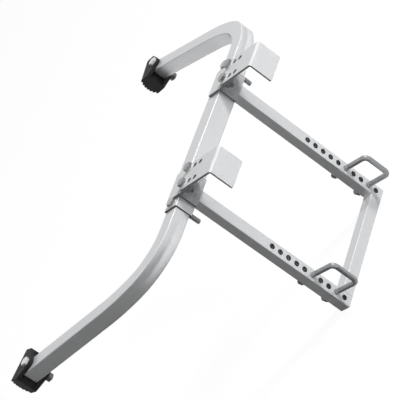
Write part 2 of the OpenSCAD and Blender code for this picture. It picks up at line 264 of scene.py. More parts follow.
@dataclass(frozen=True)
class MetalFinish(Finish):
    """A bare or plated metal.

    Attributes:
        metallic: Share of the light that the bare metal reflects; its oxide scatters the rest.
        line_mm: Distance between the drawn lines along the piece, or 0 for none.
        LINE_SHARE: Share of the lines in the pattern.
        LINES_PER_METRE: Lines that follow each other in a metre of length.
    """

    metallic: float
    line_mm: float = 0.0
    LINE_SHARE: ClassVar[float] = 0.35
    LINES_PER_METRE: ClassVar[float] = 6.0

    def values(self) -> dict[str, float]:
        """Even values of the shader."""
        return {"Metallic": self.metallic}

    def pattern(self, tree: bpy.types.NodeTree) -> tuple[bpy.types.NodeSocket, ...]:
        """Makes the grain, mixed with the drawn lines where there are any.

        Args:
            tree: Node tree of the material.

        Returns:
            The outputs that steer the colour and the grain.
        """
        place = add_node(tree, "ShaderNodeTexCoord")
        # A cell of noise is one over its scale in metres, so the grain's size gives the scale
        grain = add_node(
            tree, "ShaderNodeTexNoise",
            {"Vector": place.outputs["Object"], "Scale": 1 / (self.grain_mm * MM),
             "Detail": 3.0, "Roughness": 0.6},
        )
        shown = grain.outputs["Fac"]
        if self.line_mm:
            # Noise that is fine across the piece and long along it
            fine = (1 / (self.line_mm * MM), self.LINES_PER_METRE, 1.0)
            stretch = add_node(
                tree, "ShaderNodeMapping", {"Vector": place.outputs["UV"], "Scale": fine}
            )
            lines = add_node(
                tree, "ShaderNodeTexNoise",
                {"Vector": stretch.outputs["Vector"], "Scale": 1.0, "Detail": 2.0},
                noise_dimensions="2D",
            )
            mixed = add_node(
                tree, "ShaderNodeMix",
                {"Factor": self.LINE_SHARE, "A": shown, "B": lines.outputs["Fac"]},
                data_type="FLOAT",
            )
            shown = mixed.outputs["Result"]
        return shown, shown


@dataclass(frozen=True)
class RubberFinish(Finish):
    """Moulded rubber: near black, with a dull skin and patches of bloom.

    Attributes:
        bloom_mm: Width of the patches.
        ior: Index of refraction, that of natural rubber.
    """

    bloom_mm: float = 20.0
    ior: float = 1.52
    TONES: ClassVar[Span] = (0.35, 0.7)
    SKIN: ClassVar[Span] = (0.0, 1.0)

    def values(self) -> dict[str, float]:
        """Even values of the shader."""
        return {"IOR": self.ior}

    def pattern(self, tree: bpy.types.NodeTree) -> tuple[bpy.types.NodeSocket, ...]:
        """Makes the bloom and the mould's grain.

        Args:
            tree: Node tree of the material.

        Returns:
            The outputs that steer the colour and the grain.
        """
        place = add_node(tree, "ShaderNodeTexCoord")
        bloom, grain = (
            add_node(
                tree, "ShaderNodeTexNoise",
                {"Vector": place.outputs["Object"], "Scale": 1 / (size * MM), "Detail": detail},
            )
            for size, detail in ((self.bloom_mm, 2.0), (self.grain_mm, 4.0))
        )
        return bloom.outputs["Fac"], grain.outputs["Fac"]


# Extruded tube, tumbled to a satin skin: the grain is drawn 2 mm wide to show at all
SATIN_TUBE = MetalFinish(
    "satin_extruded_aluminium", "DDDEDF", "D0D1D3", 0.38, 0.05, 2.0, 0.03, 0.5, 1.2
)
# Sheet, cut and blasted: flat pale grey without lines, duller than the tubes
BLASTED_SHEET = MetalFinish(
    "blasted_aluminium_sheet", "D4D5D6", "CCCDCE", 0.68, 0.04, 1.6, 0.02, 0.4
)
# The sheet next to the long welds under the shelf is drawn greyer: painted shade for the shadow
# that the shelf and hook cast on it
SHADE_DARKENED_SHEET = MetalFinish(
    "shade_darkened_aluminium_sheet", "BABBBC", "9C9D9F", 0.66, 0.05, 9.0, 0.02, 0.3
)
# Sawn and sheared faces and the inside of the arms and crossbar: a thick, dark skin of oxide
RAW_CUT = MetalFinish("raw_cut_aluminium", "8E8F91", "747577", 0.55, 0.05, 1.0, 0.04, 0.4)
# The inside of the drilled legs: mill skin that scatters the little light that the holes let in
BORE_SKIN = MetalFinish("mill_skin_aluminium", "D6D7D8", "C4C5C7", 0.6, 0.05, 1.5, 0.03, 0.05)
# Painted shade: the sleeve's ends and bore and the walls of leg holes are drawn near black, for the
# shade in the gap round the arms and inside the holes
SHADE_DARKENED_CUT = MetalFinish("shade_darkened_raw_aluminium", "3C3D3E", "282929", 0.55, 0.05, 1.5, 0.03, 0.3)
# Weld metal left as it froze: bright and a little rough
WELD_METAL = MetalFinish("welded_aluminium", "D0D1D2", "B4B5B7", 0.4, 0.08, 1.2, 0.06, 0.6)
# Bright zinc plate on steel: smoother than the aluminium, with a cool grey tone
ZINC_PLATE = MetalFinish("zinc_plated_steel", "AEB0B2", "95979A", 0.2, 0.06, 2.5, 0.01, 0.92)
# The through bolts take a lighter copy of the zinc plate: painted highlight for the light on their
# heads and tips
HIGHLIGHT_LIGHTENED_PLATE = MetalFinish(
    "bright_zinc_plated_steel", "C8CACC", "B4B6B9", 0.22, 0.05, 2.5, 0.01, 0.88
)
# The foot bolts and the upper washers take a near-white, a little duller copy of the zinc plate:
# painted highlight for the glints on their tops and rims
HIGHLIGHT_PALE_PLATE = MetalFinish("highlight_pale_zinc_plated_steel", "F2F2F2", "E2E3E4", 0.4, 0.05, 2.5, 0.01, 0.7)
# Bent rod, plated thin: greyer than the bolts
PLATED_ROD = MetalFinish("plated_bent_rod", "B2B4B6", "9EA0A3", 0.2, 0.05, 3.0, 0.02, 0.8)
# The nuts take a darker, a little rougher copy of the zinc plate: painted shade, since they sit in
# shade under the shelf, below the feet and behind the legs
SHADE_DARKENED_PLATE = MetalFinish("shade_darkened_zinc_plated_steel", "8E9092", "77797B", 0.3, 0.06, 2.0, 0.015, 0.85)
# Rubber from a blasted mould: near black and dull, greyer in patches where it has bloomed
MOULDED_RUBBER = RubberFinish("moulded_black_rubber", "1A1A1B", "0F0F10", 0.7, 0.1, 0.9, 0.08)


def circle(x: float, y: float, radius: float, steps: int = 36) -> list[Point]:
    """Points round a circle, counter-clockwise."""
    angles = [math.tau * i / steps for i in range(steps)]
    return [(x + radius * math.cos(a), y + radius * math.sin(a)) for a in angles]


def round_ring(steps: int, shape: Callable[[float], Point]) -> Ring:
    """Ring round the Z axis.

    Args:
        steps: Number of points.
        shape: Gives the radius and the height at an angle in radians.

    Returns:
        The ring's points.
    """
    ring = []
    for i in range(steps):
        a = math.tau * i / steps
        r, z = shape(a)
        ring.append(Vector((r * math.cos(a), r * math.sin(a), z)))
    return ring


def rounded_outline(corners: Sequence[tuple[float, float, float]], steps: int = 6) -> list[Point]:
    """Outline whose corners are rounded by arcs.

    Args:
        corners: For each corner its place and its radius, in order.
        steps: Straight pieces in each corner.

    Returns:
        Points round the outline.
    """
    points = []
    for i, (x, y, radius) in enumerate(corners):
        here = Vector((x, y))
        before = (Vector(corners[i - 1][:2]) - here).normalized()
        after = (Vector(corners[(i + 1) % len(corners)][:2]) - here).normalized()
        half = before.angle(after) / 2
        start, end = (here + way * radius / math.tan(half) for way in (before, after))
        middle = here + (before + after).normalized() * radius / math.sin(half)
        first, last = start - middle, end - middle
        turn = first.angle_signed(last)
        for k in range(steps + 1):
            arm = first.copy()
            arm.rotate(Matrix.Rotation(-turn * k / steps, 2))
            points.append(tuple(middle + arm))
    return points


class Solid:
    """A closed surface in millimetres that is built up, cut and finished."""

    def __init__(self, start: bpy.types.Mesh | None = None) -> None:
        """Starts empty, or from a mesh whose surface it takes over.

        Args:
            start: That mesh.
        """
        self.mesh = bmesh.new()
        if start:
            self.mesh.from_mesh(start)
        self.uv = self.mesh.loops.layers.uv.verify()

    def loft(self, rings: Sequence[Ring], loop: bool = False, area: Area = Area.SKIN) -> "Solid":
        """Joins rings of equally many points with four-sided faces.

        Args:
            rings: The rings in order.
            loop: True to join the last ring to the first, False to close both ends.
            area: What the new faces are.

        Returns:
            This solid.
        """
        rows = [[self.mesh.verts.new(p) for p in ring] for ring in rings]
        middles = [sum(ring, Vector()) / len(ring) for ring in rings]
        around, along = [0.0], [0.0]
        for i, p in enumerate(rings[0]):
            around.append(around[-1] + (rings[0][(i + 1) % len(rings[0])] - p).length)
        for a, b in zip(middles, middles[1:] + middles[:1]):
            along.append(along[-1] + (b - a).length)
        for k in range(len(rows) if loop else len(rows) - 1):
            a, b = rows[k], rows[(k + 1) % len(rows)]
            for j in range(len(a)):
                i = (j + 1) % len(a)
                face = self.mesh.faces.new((a[j], a[i], b[i], b[j]))
                face.material_index = area
                spots = ((j, k), (j + 1, k), (j + 1, k + 1), (j, k + 1))
                for corner, (u, v) in zip(face.loops, spots):
                    corner[self.uv].uv = (around[u] * MM, along[v] * MM)
        if not loop:
            for row in (rows[0][::-1], rows[-1]):
                self.mesh.faces.new(row).material_index = area
        return self

    def lathe(
        self, profile: Sequence[Point], steps: int = 40, loop: bool = False,
        area: Area = Area.SKIN,
    ) -> "Solid":
        """Turns a profile of radius and height round the Z axis.

        Args:
            profile: Radius and height of each ring.
            steps: Points in a ring.
            loop: True for a profile that goes round a bore.
            area: What the new faces are.

        Returns:
            This solid.
        """
        return self.loft([round_ring(steps, lambda _: spot) for spot in profile], loop, area)

    def move(self, matrix: Matrix) -> "Solid":
        """Moves the whole solid by a matrix."""
        bmesh.ops.transform(self.mesh, matrix=matrix, verts=self.mesh.verts)
        return self

    def add(self, other: "Solid") -> "Solid":
        """Takes over another solid's surface, which stays as it is.

        Args:
            other: The other solid.

        Returns:
            This solid.
        """
        shell = bpy.data.meshes.new("shell")
        other.mesh.to_mesh(shell)
        self.mesh.from_mesh(shell)
        bpy.data.meshes.remove(shell)
        return self

    def tidy(self) -> "Solid":
        """Merges doubled points and turns all faces outwards."""
        bmesh.ops.remove_doubles(self.mesh, verts=self.mesh.verts, dist=SAME_POINT)
        bmesh.ops.recalc_face_normals(self.mesh, faces=self.mesh.faces)
        return self

    def soften(self, width: float, steps: int, above: float) -> "Solid":
        """Rounds the edges at which two faces turn by more than an angle.

        Args:
            width: Width of the round.
            steps: Pieces in the round.
            above: Angle between faces above which an edge is rounded, in degrees.

        Returns:
            This solid.
        """
        mesh = self.tidy().mesh
        bmesh.ops.dissolve_limit(
            mesh, angle_limit=FLAT_ANGLE, verts=mesh.verts, edges=mesh.edges
        )
        sharp = math.radians(above)
        edges = [e for e in mesh.edges if e.is_manifold and e.calc_face_angle(0) > sharp]
        bmesh.ops.bevel(
            mesh, geom=edges, offset=width, segments=steps, profile=0.5, affect="EDGES",
            clamp_overlap=True,
        )
        return self

    def combine(self, tool: "Solid", how: Combine) -> "Solid":
        """Changes this solid by another one.

        Args:
            tool: The other solid.
            how: What is done.

        Returns:
            This solid.
        """
        holders = []
        for solid in (self.tidy(), tool.tidy()):
            shell = bpy.data.meshes.new("shell")
            solid.mesh.to_mesh(shell)
            # The numbers of the finishes last only where there are slots for them
            for _ in Area:
                shell.materials.append(None)
            holders.append(add_object("shell", shell))
        cut = holders[0].modifiers.new("cut", "BOOLEAN")
        cut.operation, cut.object, cut.solver = how.value, holders[1], "EXACT"
        graph = bpy.context.evaluated_depsgraph_get()
        result = bpy.data.meshes.new_from_object(holders[0].evaluated_get(graph))
        self.mesh.clear()
        self.mesh.from_mesh(result)
        self.uv = self.mesh.loops.layers.uv.verify()
        shells = [holder.data for holder in holders]
        for holder in holders:
            bpy.data.objects.remove(holder)
        for shell in (result, *shells):
            bpy.data.meshes.remove(shell)
        return self


def pin(place: Vector, radius: float, low: float, high: float, area: Area = Area.CUT) -> Solid:
    """Cutting tool for one upright hole.

    Args:
        place: Middle of the hole.
        radius: Radius of the hole.
        low: Height of the tool's lower end above the middle.
        high: Height of its upper end.
        area: What the hole's wall is.

    Returns:
        The tool.
    """
    tool = Solid().lathe([(radius, low), (radius, high)], area=area)
    return tool.move(Matrix.Translation(place))


def plate(
    half: float, low: Point, high: Point, thickness: float,
    holes: Sequence[Sequence[Point]] = (), edge: float = 0.35,
) -> Solid:
    """Flat plate from z = 0 up, with round corners and small rounds on all its edges.

    Args:
        half: Half its width.
        low: Place of its lower end along Y, and the radius of the corners there.
        high: The same of its upper end.
        thickness: Thickness of the plate.
        holes: Points round each hole.
        edge: Radius of the rounds on the edges.

    Returns:
        The plate, with sheared and drilled walls.
    """
    outline = rounded_outline(((-half, *low), (half, *low), (half, *high), (-half, *high)))
    curve = bpy.data.curves.new("outline", "CURVE")
    curve.dimensions, curve.fill_mode = "2D", "BOTH"
    for points in (outline, *holes):
        spline = curve.splines.new("POLY")
        spline.points.add(len(points) - 1)
        spline.use_cyclic_u = True
        for spot, (x, y) in zip(spline.points, points):
            spot.co = (x, y, 0, 1)
    # The round grows outwards, so the outline is first drawn in by as much
    curve.extrude, curve.bevel_depth, curve.offset = thickness / 2 - edge, edge, -edge
    curve.bevel_resolution = 1
    holder = add_object("outline", curve)
    graph = bpy.context.evaluated_depsgraph_get()
    made = bpy.data.meshes.new_from_object(holder.evaluated_get(graph))
    solid = Solid(made).move(Matrix.Translation((0, 0, thickness / 2))).tidy()
    # Faces that look more sideways than up are the sheared and drilled walls
    for face in solid.mesh.faces:
        face.material_index = Area.CUT if abs(face.normal.z) < 0.5 else Area.SKIN
    bpy.data.objects.remove(holder)
    bpy.data.curves.remove(curve)
    bpy.data.meshes.remove(made)
    return solid


def turned(x: float = 0, z: float = 0) -> Matrix:
    """Rotation about X, then Z, in degrees."""
    return Matrix.Rotation(math.radians(z), 4, "Z") @ Matrix.Rotation(math.radians(x), 4, "X")


def raised(z: float) -> Matrix:
    """Shift up, in millimetres."""
    return Matrix.Translation((0, 0, z))


def place_piece(
    name: str, solid: Solid, finishes: Sequence[Finish], replaces: str, slot: Slot,
    side: Side | None = None, body: str = "frame", mirror: bool = False,
) -> None:
    """Makes the Blender object of a piece and ties it to the frame.

    Args:
        name: Name of the piece, to which its side is added.
        solid: Its surface, in millimetres.
        finishes: The finish of each area.
        replaces: CAD node that it stands for, to which its side is added.
        slot: The record's material slot; not used.
        side: Side that the piece is on, if it has one.
        body: CAD body that it moves with.
        mirror: True if the solid is a right-hand piece, to be turned over on the left.
    """
    if side:
        name, replaces = f"{name}_{side.tag}", f"{replaces}_{side.tag}"
    flip = -1 if mirror and side is Side.LEFT else 1
    solid.move(Matrix.Diagonal((flip * MM, MM, MM, 1)))
    bmesh.ops.recalc_face_normals(solid.mesh, faces=solid.mesh.faces)
    data = bpy.data.meshes.new(name)
    solid.mesh.to_mesh(data)
    solid.mesh.free()
    for finish in finishes:
        data.materials.append(finish.material())
    data.polygons.foreach_set("use_smooth", [True] * len(data.polygons))
    data.set_sharp_from_angle(angle=SHARP_ANGLE)
    piece = add_object(name, data)
    # Large faces keep their own direction, so that only the rounds between them turn the light
    even = piece.modifiers.new("even_normals", "WEIGHTED_NORMAL")
    even.keep_sharp = True
    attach(piece, body)
    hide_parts(replaces)
    log.info("%s: %d faces, rides on %s, stands for %s", name, len(data.polygons), body, replaces)


@dataclass
class Station:
    """A place on a tube's centre-line.

    Attributes:
        middle: The place.
        across: Direction across the tube, to its outer side.
        up: Direction to the tube's upper side.
        along: Direction along the tube.
        dent: Depth of the groove in the outer wall.
    """

    middle: Vector
    across: Vector
    up: Vector
    along: Vector
    dent: float = 0.0


@dataclass
class SquareTube:
    """Extruded square tube with round corners and broken end edges.

    Attributes:
        width: Width over the flats.
        wall: Thickness of the wall.
        corner: Outer corner radius.
        least_corner: Least inner corner radius, which is else the outer one less the wall.
        corner_steps: Pieces in a corner.
        flat_steps: Pieces in a flat side.
        end_break: Width of the broken edges.
        groove_half: Half the width of the groove that a bend presses into the outer wall.
        groove_soft: How round the groove's bottom is.
        groove_power: How much its sides curve.
    """

    width: float
    wall: float
    corner: float
    least_corner: float = 0.4
    corner_steps: int = 5
    flat_steps: int = 12
    end_break: float = 0.35
    groove_half: float = 10.0
    groove_soft: float = 0.8
    groove_power: float = 1.3

    def section(self, width: float, corner: float) -> list[Point]:
        """Points of a section, counter-clockwise, with extra ones on its flats for the groove.

        Args:
            width: Width of the section.
            corner: Its corner radius.

        Returns:
            Points round the section.
        """
        middle = width / 2 - corner
        base = []
        for quarter, (sx, sy) in enumerate(((1, 1), (-1, 1), (-1, -1), (1, -1))):
            for i in range(self.corner_steps + 1):
                a = math.radians(90 * (quarter + i / self.corner_steps))
                x, y = corner * math.cos(a), corner * math.sin(a)
                base.append((sx * middle + x, sy * middle + y))
        points = []
        for (ax, ay), (bx, by) in zip(base, base[1:] + base[:1]):
            steps = self.flat_steps if math.dist((ax, ay), (bx, by)) > width / 2 else 1
            points.append((ax, ay))
            points += [
                (ax + (bx - ax) * k / steps, ay + (by - ay) * k / steps) for k in range(1, steps)
            ]
        return points

    def ring(self, station: Station, width: float, corner: float, shift: float = 0.0) -> Ring:
        """One ring of the tube's skin.

        Args:
            station: Place on the centre-line.
            width: Width of the ring.
            corner: Corner radius of the ring.
            shift: Shift along the tube.

        Returns:
            The ring's points.
        """
        points = []
        for x, y in self.section(width, corner):
            # The groove is a soft V in the middle of the outer wall, and fades round the corner
            near = max(0.0, 1 - math.hypot(y, self.groove_soft) / self.groove_half)
            pull = station.dent * near**self.groove_power * max(0.0, 2 * x / width) ** 4
            points.append(
                station.middle + station.across * (x - pull) + station.up * y
                + station.along * shift
            )
        return points

    def swept(
        self, stations: Sequence[Station], mitre: tuple[Vector, Vector] | None = None
    ) -> Solid:
        """Hollow tube along a line of places.

        Args:
            stations: Places on the centre-line, in order.
            mitre: A point and the normal of the plane that cuts the far end, if it isn't square.

        Returns:
            The tube, with cut ends and inside.
        """
        first, last = stations[0], stations[-1]
        inner = self.width - 2 * self.wall
        inner_corner = max(self.corner - self.wall, self.least_corner)
        trimmed = self.width - 2 * self.end_break
        outside = [
            self.ring(first, trimmed, self.corner),
            self.ring(first, self.width, self.corner, self.end_break),
            *(self.ring(s, self.width, self.corner) for s in stations[1:-1]),
            self.ring(last, self.width, self.corner, -self.end_break),
            self.ring(last, trimmed, self.corner),
        ]
        inside = [self.ring(s, inner, inner_corner) for s in reversed(stations)]
        if mitre:
            point, normal = mitre
            for ring, back in ((outside[-2], self.end_break), (outside[-1], 0), (inside[0], 0)):
                for p in ring:
                    reach = (point - normal * back - p).dot(normal) / last.along.dot(normal)
                    p += last.along * reach
        solid = Solid().loft(outside + inside, loop=True)
        # The rings' faces were made in order: the last outer ring starts the cut ones
        solid.mesh.faces.ensure_lookup_table()
        for face in solid.mesh.faces[(len(outside) - 1) * len(outside[0]) :]:
            face.material_index = Area.CUT
        return solid

    def straight(self, start: Vector, end: Vector) -> Solid:
        """Straight tube with its outer side to the ladder.

        Args:
            start: Middle of one end.
            end: Middle of the other end.

        Returns:
            The tube.
        """
        along = (end - start).normalized()
        return self.swept([Station(p, FRONT, along.cross(FRONT), along) for p in (start, end)])


@dataclass
class Thread:
    """Outside screw thread with a triangular profile.

    Attributes:
        major: Outer diameter.
        pitch: Distance between two turns.
        depth: Depth of the thread, in pitches.
        crest: Width of the flat at the crest, in pitches.
        root: Width of the flat at the root, in pitches.
        rows: Rings to a turn.
        steps: Points in a ring.
    """

    major: float
    pitch: float
    depth: float = 0.61
    crest: float = 0.125
    root: float = 0.25
    rows: int = 6
    steps: int = 30

    def radius(self, angle: float, height: float) -> float:
        """Radius of the thread.

        Args:
            angle: Angle about the axis, in radians.
            height: Height along the axis.

        Returns:
            The radius at that angle and height.
        """
        phase = (height / self.pitch - angle / math.tau) % 1.0
        flank = (abs(phase - 0.5) * 2 - self.crest) / (1 - self.crest - self.root)
        return self.major / 2 - self.depth * self.pitch * min(1.0, max(0.0, flank))

    def rings(self, low: float, high: float, bevel: float) -> list[Ring]:
        """Rings of a threaded end that points down, from its tip up.

        Args:
            low: Height of the tip.
            high: Height at which the thread runs out.
            bevel: Height of the bevel at the tip.

        Returns:
            The rings.
        """
        count = max(2, round((high - low) / self.pitch * self.rows))
        rings = []
        for k in range(count + 1):
            z = low + (high - low) * k / count
            limit = self.major / 2 - max(0.0, bevel - (z - low))
            rings.append(round_ring(self.steps, lambda a: (min(limit, self.radius(a, z)), z)))
        return rings


@dataclass
class HexPart:
    """Six-sided bolt head or nut with turned-off corners.

    Attributes:
        across_flats: Width over the flats.
        height: Height of the head or nut.
        steps: Points in a ring.
        flat_share: Width of the flat that the turning leaves, as a share of the width.
        slope: Slope of the turned corners, in degrees.
        face: Height of the washer face below a head.
        dish: Depth of the dish on a head.
        dish_rings: Widths of the dish's two rings, as shares of the flat.
        lead: Bevel of a nut's bore.
    """

    across_flats: float
    height: float
    steps: int = 48
    flat_share: float = 0.94
    slope: float = 28.0
    face: float = 0.4
    dish: float = 0.15
    dish_rings: Span = (0.8, 0.1)
    lead: float = 0.7

    def ring(self, limit: Callable[[float], Point]) -> Ring:
        """Ring that follows the hexagon.

        Args:
            limit: Gives radius and height for the hexagon's radius at an angle.

        Returns:
            The ring's points.
        """
        half, sixth = self.across_flats / 2, math.pi / 3
        return round_ring(
            self.steps, lambda a: limit(half / math.cos((a + sixth / 2) % sixth - sixth / 2))
        )

    def outside(self, nut: bool) -> list[Ring]:
        """Rings from the bottom up, turned at the top and, on a nut, at the bottom too.

        Args:
            nut: True for a nut, False for a head, which has a washer face instead.

        Returns:
            The rings.
        """
        flat, slope = self.across_flats / 2 * self.flat_share, math.tan(math.radians(self.slope))
        limits = [lambda r: (flat, 0.0)]
        if nut:
            limits.append(lambda r: (r, (r - flat) * slope))
        else:
            limits += [lambda r: (flat, self.face), lambda r: (r, self.face)]
        limits += [
            lambda r: (r, self.height - (r - flat) * slope), lambda r: (flat, self.height)
        ]
        return [self.ring(limit) for limit in limits]

    def head(self) -> Solid:
        """Bolt head from z = 0 up, with a shallow dish on top.

        Returns:
            The head.
        """
        rings = self.outside(nut=False)
        low = self.height - self.dish
        dish = [[Vector((p.x * k, p.y * k, low)) for p in rings[-1]] for k in self.dish_rings]
        return Solid().loft(rings + dish)

    def nut(self, bore: float) -> Solid:
        """Nut from z = 0 up, with a bevelled bore of a given width.

        Args:
            bore: Width of the bore.

        Returns:
            The nut.
        """
        r, h = bore / 2, self.height
        wall = [(r + self.lead, h), (r, h - self.lead), (r, self.lead), (r + self.lead, 0.0)]
        bored = [round_ring(self.steps, lambda _: spot) for spot in wall]
        return Solid().loft(self.outside(nut=True) + bored, loop=True)


@dataclass
class BoltSet:
    """Bolts, washers and nuts that go together.

    Attributes:
        thread: The bolts' thread.
        shape: Shape of the heads.
        nut_shape: Shape of the nuts.
        nut_bore: Bore of the nuts.
        washer_d: Outer diameter of the washers.
        washer_bore: Bore of the washers.
        washer_t: Thickness of the washers.
        washer_edge: Size of the washers' rolled edge.
        tip_bevel: Height of the bevel at a bolt's tip.
        run_out: Length over which the thread runs out into the shank.
        tuck: How far the shank reaches into the head.
        hole_r: Radius of the holes that the bolts pass.
        tight_r: Radius of the holes that the foot bolts sit in without play.
    """

    thread: Thread = field(default_factory=lambda: Thread(10.0, 1.5))
    shape: HexPart = field(default_factory=lambda: HexPart(17.0, 6.4))
    nut_shape: HexPart = field(default_factory=lambda: HexPart(17.0, 8.0))
    nut_bore: float = 9.2
    washer_d: float = 20.0
    washer_bore: float = 10.5
    washer_t: float = 2.0
    washer_edge: float = 0.35
    tip_bevel: float = 1.0
    run_out: float = 0.8
    tuck: float = 0.2
    hole_r: float = 5.25
    tight_r: float = 5.05

    def bolt(self, length: float, threaded: float) -> Solid:
        """Bolt whose head sits on z = 0 and whose shank runs down.

        Args:
            length: Length of the shank.
            threaded: Length of its threaded end.

        Returns:
            The bolt.
        """
        rings = self.thread.rings(-length, threaded - length, self.tip_bevel)
        for z in (threaded - length + self.run_out, self.tuck):
            rings.append(round_ring(self.thread.steps, lambda _: (self.thread.major / 2, z)))
        return self.shape.head().add(Solid().loft(rings))

    def washer(self) -> Solid:
        """Washer from z = 0 up, with a rolled upper edge.

        Returns:
            The washer.
        """
        o, b, t, e = self.washer_d / 2, self.washer_bore / 2, self.washer_t, self.washer_edge
        profile = [
            (b, 0), (o - e / 2, 0), (o, e / 2), (o, t - e), (o - e, t), (b + e / 2, t),
            (b, t - e / 2),
        ]
        return Solid().lathe(profile, 48, loop=True)

    def nut(self) -> Solid:
        """Nut from z = 0 up."""
        return self.nut_shape.nut(self.nut_bore)


M10 = BoltSet()


@dataclass
class Sleeve:
    """Central square tube that takes both arms, with its through bolts."""

    tube: SquareTube = field(default_factory=lambda: SquareTube(2 * SLEEVE_HALF, 2.9, 2.3))
    bolts: BoltSet = field(default_factory=lambda: BoltSet(washer_d=18.0))
    length: float = 366.0
    bolt_x: float = 174.0
    bolt_y: float = 14.0
    bolt_length: float = 64.0
    bolt_thread: float = 26.0
    twist: float = -9.0
    twist_by_side: float = -4.0
    insert_d: float = 13.0
    insert_lead: float = 0.6
    flange_d: float = 16.0
    flange_t: float = 1.0
    flange_edge: float = 0.2

    def bolt_spot(self, side: Side) -> Vector:
        """Middle of a side's through bolt, halfway up the sleeve."""
        return Vector((side.value * self.bolt_x, self.bolt_y, 0))

    def insert(self) -> Solid:
        """Threaded insert in the sleeve's lower wall, with its flange below.

        Returns:
            The insert, round the Z axis.
        """
        bore, neck, rim = self.bolts.nut_bore / 2, self.insert_d / 2, self.flange_d / 2
        low, top = -SLEEVE_HALF - self.flange_t, -SLEEVE_HALF + self.tube.wall
        profile = [
            (bore, low + self.insert_lead), (self.bolts.thread.major / 2, low),
            (rim - self.flange_edge, low), (rim, low + self.flange_edge), (rim, -SLEEVE_HALF),
            (neck, -SLEEVE_HALF), (neck, top), (bore, top),
        ]
        return Solid().lathe(profile, loop=True)

    def build(self) -> None:
        """Makes the sleeve, and the through bolt, washer and threaded insert on each side."""
        end = Vector((self.length / 2, 0, 0))
        middle = Vector((0, SLEEVE_HALF, 0))
        body = self.tube.straight(middle - end, middle + end)
        holes = Solid()
        for side in Side:
            spot = self.bolt_spot(side)
            holes.add(pin(spot, self.bolts.hole_r, 0, SLEEVE_HALF + PAST))
            holes.add(pin(spot, self.insert_d / 2, -SLEEVE_HALF - PAST, -PAST / 2))
        body.combine(holes, Combine.CUT)
        # The sleeve's ends and bore are drawn near black: painted shade in the gap round the arms
        place_piece(
            "square_sleeve", body, (SATIN_TUBE, SHADE_DARKENED_CUT), "sleeve_tube", Slot.ALUMINIUM
        )
        for side in Side:
            at = Matrix.Translation(self.bolt_spot(side))
            on_top = at @ raised(SLEEVE_HALF)
            twist = turned(z=self.twist + self.twist_by_side * side.value)
            bolt = self.bolts.bolt(self.bolt_length, self.bolt_thread)
            bolt.move(twist).move(on_top @ raised(self.bolts.washer_t))
            washer = self.bolts.washer().move(on_top)
            insert = self.insert().move(at)
            # The through bolt and its washer take lighter copies of the zinc plate: painted
            # highlight
            for name, solid, finish, replaces in (
                ("through_bolt_hex", bolt, HIGHLIGHT_LIGHTENED_PLATE, "through_bolt"),
                ("through_bolt_washer", washer, HIGHLIGHT_PALE_PLATE, "through_washer"),
                ("threaded_insert", insert, ZINC_PLATE, "through_insert"),
            ):
                place_piece(name, solid, (finish,), replaces, Slot.ZINC, side)


@dataclass(frozen=True)
class Bend:
    """Bend of an arm: radius, angle in degrees, pieces and depth of the groove in its back."""

    radius: float
    angle: float
    steps: int
    groove: float


@dataclass
class Arm:
    """Bent square tube that telescopes into the sleeve and carries a foot."""

    tube: SquareTube = field(default_factory=lambda: SquareTube(32.0, 2.0, 2.0))
    start: float = 95.0
    bend_start: float = 225.0
    bends: tuple[Bend, ...] = (Bend(112.5, 63.0, 30, 1.9), Bend(320.0, 15.7, 12, 0.0))
    groove_lead: float = 30.0
    groove_lead_steps: int = 8
    groove_fade: float = 1.7
    reach: float = 225.0
    foot_yaw: float = 10.4
    mitre_end: float = 8.6

    def station(self, x: float, y: float, heading: float, dent: float, share: float) -> Station:
        """Place on the arm's centre-line, which lies in the plane z = 0.

        Args:
            x: Place along the sleeve.
            y: Place towards the wall.
            heading: Angle of the centre-line from +X, in degrees.
            dent: Depth of the groove.
            share: How far the groove has grown, from 0 to 1.

        Returns:
            The station.
        """
        a = math.radians(heading)
        along = Vector((math.cos(a), math.sin(a), 0))
        across = Vector((math.sin(a), -math.cos(a), 0))
        depth = dent * share * share * (3 - 2 * share)
        return Station(Vector((x, y, 0)), across, along.cross(across) * -1, along, depth)

    def stations(self) -> list[Station]:
        """Places from the arm's inner end to the foot bolt.

        Returns:
            The stations, in order.
        """
        x, y, heading = self.bend_start, SLEEVE_HALF, 0.0
        places = [self.station(self.start, y, heading, 0.0, 0.0)]
        # The groove runs out in the straight part, just outside the sleeve
        for i in range(self.groove_lead_steps + 1):
            share = i / self.groove_lead_steps
            lead = self.groove_lead * (1 - share)
            places.append(self.station(x - lead, y, heading, self.bends[0].groove, share))
        for bend in self.bends:
            for i in range(1, bend.steps + 1):
                share = min(1.0, self.groove_fade * (bend.steps - i) / bend.steps)
                turn = bend.angle / bend.steps
                a0, a1 = math.radians(heading), math.radians(heading + turn)
                x += bend.radius * (math.sin(a1) - math.sin(a0))
                y += bend.radius * (math.cos(a0) - math.cos(a1))
                heading += turn
                places.append(self.station(x, y, heading, bend.groove, share))
        a = math.radians(heading)
        x, y = x + self.reach * math.cos(a), y + self.reach * math.sin(a)
        return [*places, self.station(x, y, heading, 0.0, 0.0)]

    @property
    def pivot(self) -> Vector:
        """Middle of the right-hand foot bolt."""
        return self.stations()[-1].middle

    def at_foot(self, side: Side) -> Matrix:
        """Matrix from a foot's own frame, with +X to the wall, to its place on a side."""
        place = Matrix.Translation((side.value * self.pivot.x, self.pivot.y, 0))
        return place @ turned(z=90 + side.value * self.foot_yaw)

    def build(self, sleeve: Sleeve) -> None:
        """Makes both arms.

        Args:
            sleeve: The sleeve whose through bolts hold the arms.
        """
        half = self.tube.width / 2 + PAST
        ahead = math.radians(90 + self.foot_yaw)
        normal = Vector((math.cos(ahead), math.sin(ahead), 0))
        for side in Side:
            body = self.tube.swept(self.stations(), (self.pivot + normal * self.mitre_end, normal))
            holes = pin(sleeve.bolt_spot(Side.RIGHT), M10.hole_r, -half, half)
            holes.add(pin(self.pivot, M10.tight_r, -half, half))
            body.combine(holes, Combine.CUT)
            place_piece(
                "bent_arm", body, (SATIN_TUBE, RAW_CUT), "arm", Slot.ALUMINIUM, side, mirror=True
            )


